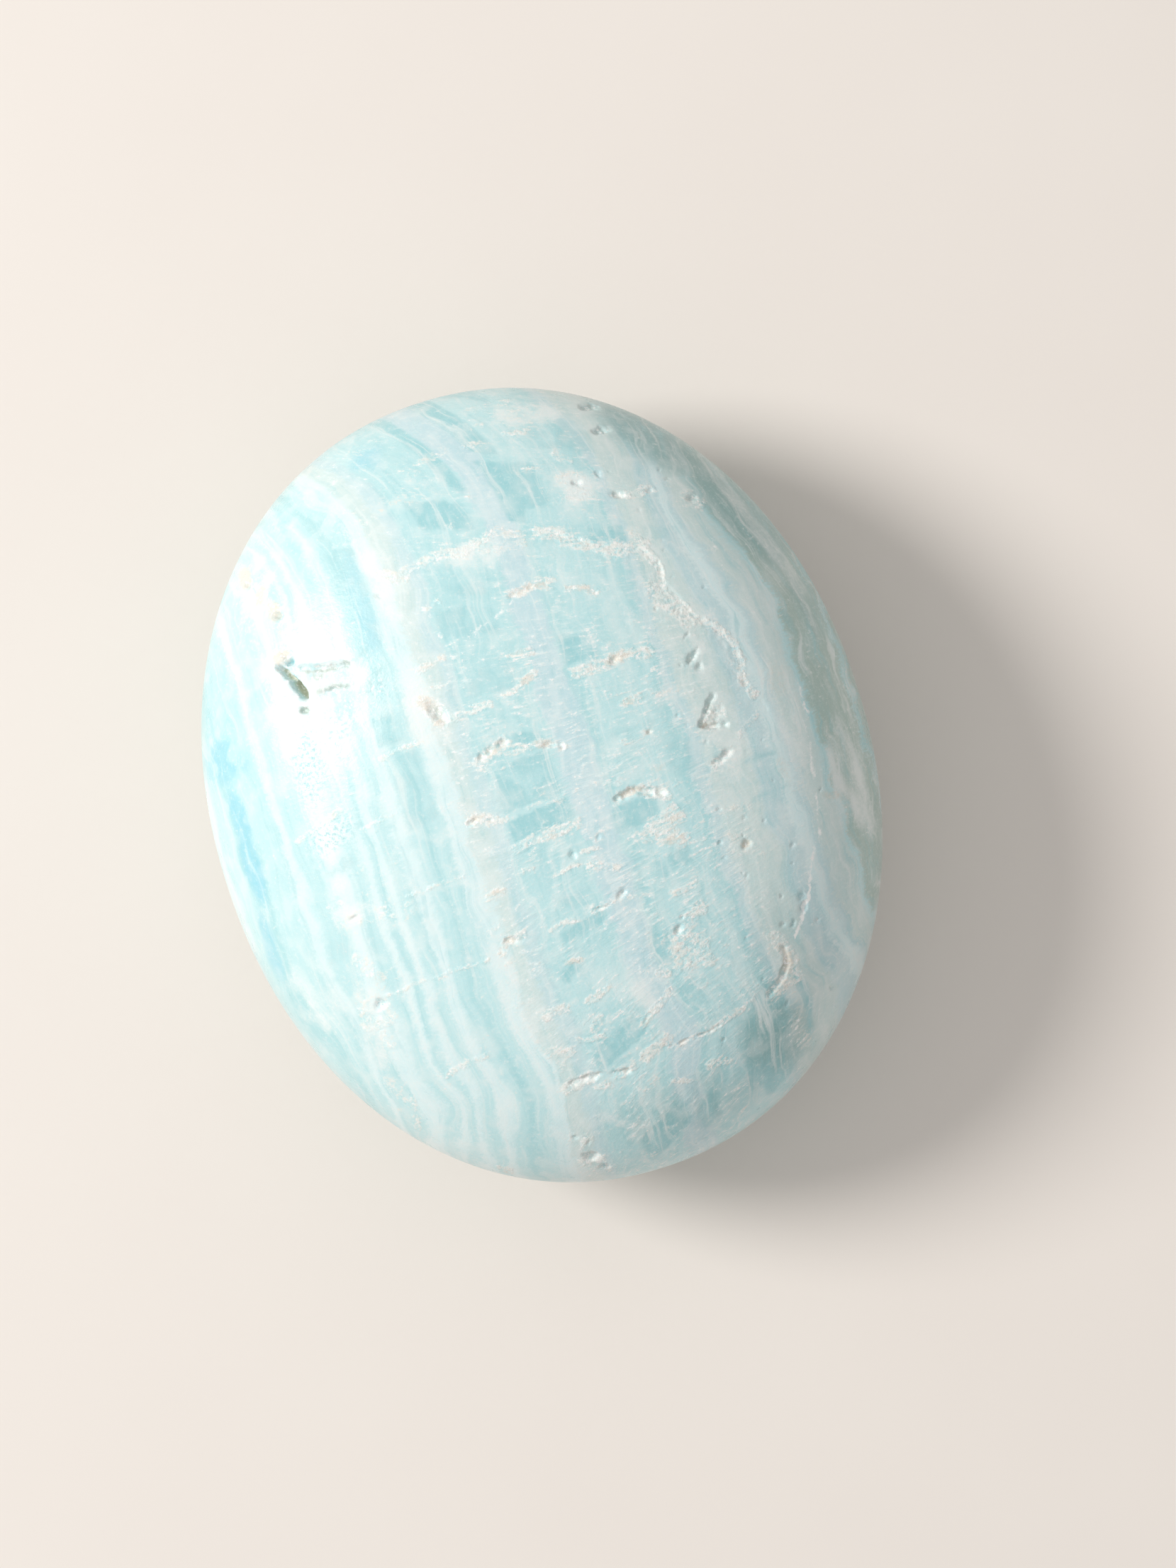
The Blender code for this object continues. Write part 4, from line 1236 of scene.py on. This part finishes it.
def calcite():
    """Polished banded calcite: bands along the stone, broken blocks, white crystal and open pits, with
    painted shade in the pits, under the ledges and on the flanks, and painted glints.
    """
    finish = Finish("banded_calcite")
    calc, mix, soft_step, times = finish.calc, finish.mix, finish.soft_step, finish.times
    values = {name: finish.field(name) for name in MARKED_FIELDS}
    band, fibre, mottle, fibrous = (values[name] for name in ("band", "fibre", "mottle", "fibrous"))
    coordinates = finish.node("ShaderNodeTexCoord", {}).outputs["Object"]
    in_millimetres = {0: coordinates, "Scale": 1.0 / MILLIMETRE}
    solid = finish.node("ShaderNodeVectorMath", in_millimetres, operation="SCALE").outputs[0]
    height = finish.node("ShaderNodeSeparateXYZ", {0: solid}).outputs[2]
    grain = finish.noise(solid, *GRAIN)
    speckle = calc("SUBTRACT", grain, 0.5)
    across_bands = finish.place(*(times(*pair) for pair in zip((band, fibre, height), FIBRE_FINENESS)))
    fibres = finish.noise(across_bands, *FIBRES)
    streak = calc("SUBTRACT", fibres, 0.5)
    shaken_band = calc("ADD", band, times(speckle, LINE_GRAIN))
    along_bands = finish.place(shaken_band, *(times(*pair) for pair in zip((fibre, height), LINE_FINENESS)))
    lines = finish.noise(along_bands, *LINES)

    # Bands whose edges run out into fibres
    frayed = calc("ADD", band, times(speckle, BAND_GRAIN_FRAY))
    frayed = calc("ADD", frayed, times(streak, calc("ADD", fibrous, 0.5), BAND_FIBRE_FRAY))
    steps = [(start, TONES[tone]) for start, tone in BANDS]
    colour = steps_ramp(finish, frayed, steps, BANDS_END, BAND_EDGE)

    # Blocks between the breaks differ in tone, in two columns of the middle
    level = calc("ADD", fibre, times(speckle, LEVEL_FRAY))
    rng = np.random.default_rng(BLOCK_SEED)
    for left, right, strength in BLOCK_COLUMNS:
        column = times(soft_step(frayed, *left), soft_step(frayed, *right, 1.0, 0.0))
        tone = steps_ramp(finish, level, block_tones(rng), LEVELS_END, LEVEL_EDGE)
        colour = mix(times(column, tone, strength), colour, TONES["teal"])

    # The markings, one over the other, the painted shade among them
    for name, amount in SPECKLED.items():
        values[name] = calc("ADD", values[name], times(speckle, amount))
    values["crystal"] = calc("ADD", values["crystal"], times(streak, CRYSTAL_STREAKS))
    in_block = times(soft_step(finish.field("block"), *BLOCK_INSIDE), LINES_IN_BLOCKS)
    on_flank = times(finish.field("flank"), LINES_ON_FLANK)
    line_strength = calc("ADD", calc("ADD", soft_step(mottle, *LINES_BY_MOTTLE), in_block), on_flank)
    values.update({"grain": grain, "fibres": fibres, "lines": lines, "line strength": line_strength})
    boned = soft_step(mottle, *BONE_BY_MOTTLE)
    tones = {**TONES, "crystal": mix(boned, TONES["crystal"], TONES["bone"])}
    for name, start, full, share, where, tone in MARKINGS:
        amount = times(soft_step(values[name], start, full), share)
        if where:
            amount = times(amount, values[where])
        colour = mix(amount, colour, tones[tone])

    # Satin polish, rough in the crystal and in the pits, where single grains catch the light; white dots
    # painted on a few grains stand for their glints
    rough = calc("MAXIMUM", finish.field("rough"), soft_step(values["depth"], *PIT_ROUGHNESS))
    gloss = calc("ADD", calc("ADD", POLISH, times(mottle, POLISH_CHANGE)), times(rough, CRYSTAL_ROUGHNESS))
    cells = finish.cells(solid, FACET_SIZE)
    centred = {0: cells, 1: (0.5, 0.5, 0.5)}
    facets = finish.node("ShaderNodeVectorMath", centred, operation="SUBTRACT").outputs[0]
    in_fibres = times(soft_step(fibres, *BRIGHT_FIBRES), fibrous, FACETS_IN_FIBRES)
    facet_tilt_and_painted_glint = calc("ADD", times(rough, FACETS_IN_CRYSTAL), in_fibres)
    tilt = finish.node("ShaderNodeVectorMath", {0: facets, "Scale": facet_tilt_and_painted_glint}, operation="SCALE").outputs[0]
    bright = finish.node("ShaderNodeSeparateXYZ", {0: cells}).outputs[0]
    # Painted glints: white dots on a few facets stand for sparkles
    colour = mix(times(soft_step(bright, *PAINTED_GLINT_SHARE), facet_tilt_and_painted_glint, PAINTED_GLINT_STRENGTH), colour, TONES["crack_white_and_painted_glint"])

    fibre_relief = times(fibres, calc("ADD", times(fibrous, FIBRE_RELIEF[0]), FIBRE_RELIEF[1]))
    relief = calc("ADD", fibre_relief, times(grain, calc("ADD", rough, GRAIN_RELIEF)))
    relief_inputs = {"Strength": 1.0, "Distance": RELIEF * MILLIMETRE, "Height": relief}
    bump = finish.node("ShaderNodeBump", relief_inputs).outputs[0]
    tilted = finish.node("ShaderNodeVectorMath", {0: bump, 1: tilt}, operation="ADD").outputs[0]
    normal = finish.node("ShaderNodeVectorMath", {0: tilted}, operation="NORMALIZE").outputs[0]

    finish.feed(finish.shader.inputs["Base Color"], colour)
    finish.feed(finish.shader.inputs["Roughness"], gloss)
    finish.feed(finish.shader.inputs["Normal"], normal)
    finish.shader.inputs["IOR"].default_value = CALCITE_IOR
    finish.shader.inputs["Subsurface Weight"].default_value = GLOW
    finish.shader.inputs["Subsurface Radius"].default_value = GLOW_REACH
    finish.shader.inputs["Subsurface Scale"].default_value = MILLIMETRE
    return finish.material


def make_floor():
    """A wide plain pale floor, with a trace of unevenness in its colour."""
    mesh = bpy.data.meshes.new("floor")
    corners = [(x * FLOOR_HALF, y * FLOOR_HALF, 0.0) for x, y in ((-1, -1), (1, -1), (1, 1), (-1, 1))]
    mesh.from_pydata(corners, [], [(0, 1, 2, 3)])
    finish = Finish("pale_floor")
    coordinates = finish.node("ShaderNodeTexCoord", {}).outputs["Object"]
    cloudy = finish.noise(coordinates, FLOOR_LUMP, 3.0)
    finish.feed(finish.shader.inputs["Base Color"], finish.mix(cloudy, FLOOR_TONE, FLOOR_TONE_2))
    finish.shader.inputs["Roughness"].default_value = FLOOR_ROUGHNESS
    mesh.materials.append(finish.material)
    floor = bpy.data.objects.new("floor", mesh)
    bpy.context.scene.collection.objects.link(floor)


def photo_directions():
    """The photograph's right and up, on the plan of the stone."""
    lean = math.radians(LEAN)
    return Vector((math.cos(lean), -math.sin(lean), 0.0)), Vector((math.sin(lean), math.cos(lean), 0.0))


def make_camera():
    """A camera straight above the stone, turned so that the stone leans as it does in the photograph."""
    right, up = photo_directions()
    off_right = (PHOTO_WIDTH / 2 - STONE_MIDDLE[0]) / PIXELS_A_MILLIMETRE
    off_up = (STONE_MIDDLE[1] - PHOTO_HEIGHT / 2) / PIXELS_A_MILLIMETRE
    camera = bpy.data.objects.new("camera", bpy.data.cameras.new("camera"))
    camera.data.sensor_width = SENSOR
    camera.data.lens = SENSOR * CAMERA_DISTANCE / (PHOTO_HEIGHT / PIXELS_A_MILLIMETRE)
    camera.data.clip_start = NEAREST_SEEN
    camera.data.clip_end = FARTHEST_SEEN
    place = right * off_right + up * off_up + Vector((0.0, 0.0, RIM_HEIGHT + CAMERA_DISTANCE))
    turn = Matrix((right, up, Vector((0.0, 0.0, 1.0)))).transposed()
    camera.matrix_world = Matrix.Translation(place * MILLIMETRE) @ turn.to_4x4()
    bpy.context.scene.collection.objects.link(camera)
    bpy.context.scene.camera = camera


def make_light():
    """A broad lamp from the photograph's left and an even, faintly warm surround."""
    right, up = photo_directions()
    lamp = bpy.data.lights.new("key", "AREA")
    lamp.shape = "DISK"
    lamp.size = KEY_SIZE
    lamp.energy = KEY_POWER
    lamp.color = KEY_COLOUR
    key = bpy.data.objects.new("key", lamp)
    off, turn = math.radians(KEY_OFF_VERTICAL), math.radians(KEY_TURN)
    sideways = up * math.sin(turn) - right * math.cos(turn)
    toward = Vector((0.0, 0.0, math.cos(off))) + sideways * math.sin(off)
    key.location = toward * KEY_DISTANCE * MILLIMETRE
    key.rotation_euler = toward.to_track_quat("Z", "Y").to_euler()
    bpy.context.scene.collection.objects.link(key)
    world = bpy.data.worlds.new("surround")
    world.use_nodes = True
    nodes, links = world.node_tree.nodes, world.node_tree.links
    direction = nodes.new("ShaderNodeTexCoord")
    parts = nodes.new("ShaderNodeSeparateXYZ")
    rise = nodes.new("ShaderNodeMapRange")
    for number, value in ((1, 0.0), (2, FILL_TOP), (3, FILL_LOW_STRENGTH), (4, FILL_STRENGTH)):
        rise.inputs[number].default_value = value
    background = nodes["Background"]
    background.inputs["Color"].default_value = FILL_COLOUR
    links.new(direction.outputs["Generated"], parts.inputs[0])
    links.new(parts.outputs[2], rise.inputs[0])
    links.new(rise.outputs[0], background.inputs["Strength"])
    bpy.context.scene.world = world
    bpy.context.scene.view_settings.view_transform = "Standard"


stone = make_stone()
stone.data.materials.append(calcite())
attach(stone, "root")
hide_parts(NODE)
make_floor()
make_camera()
make_light()
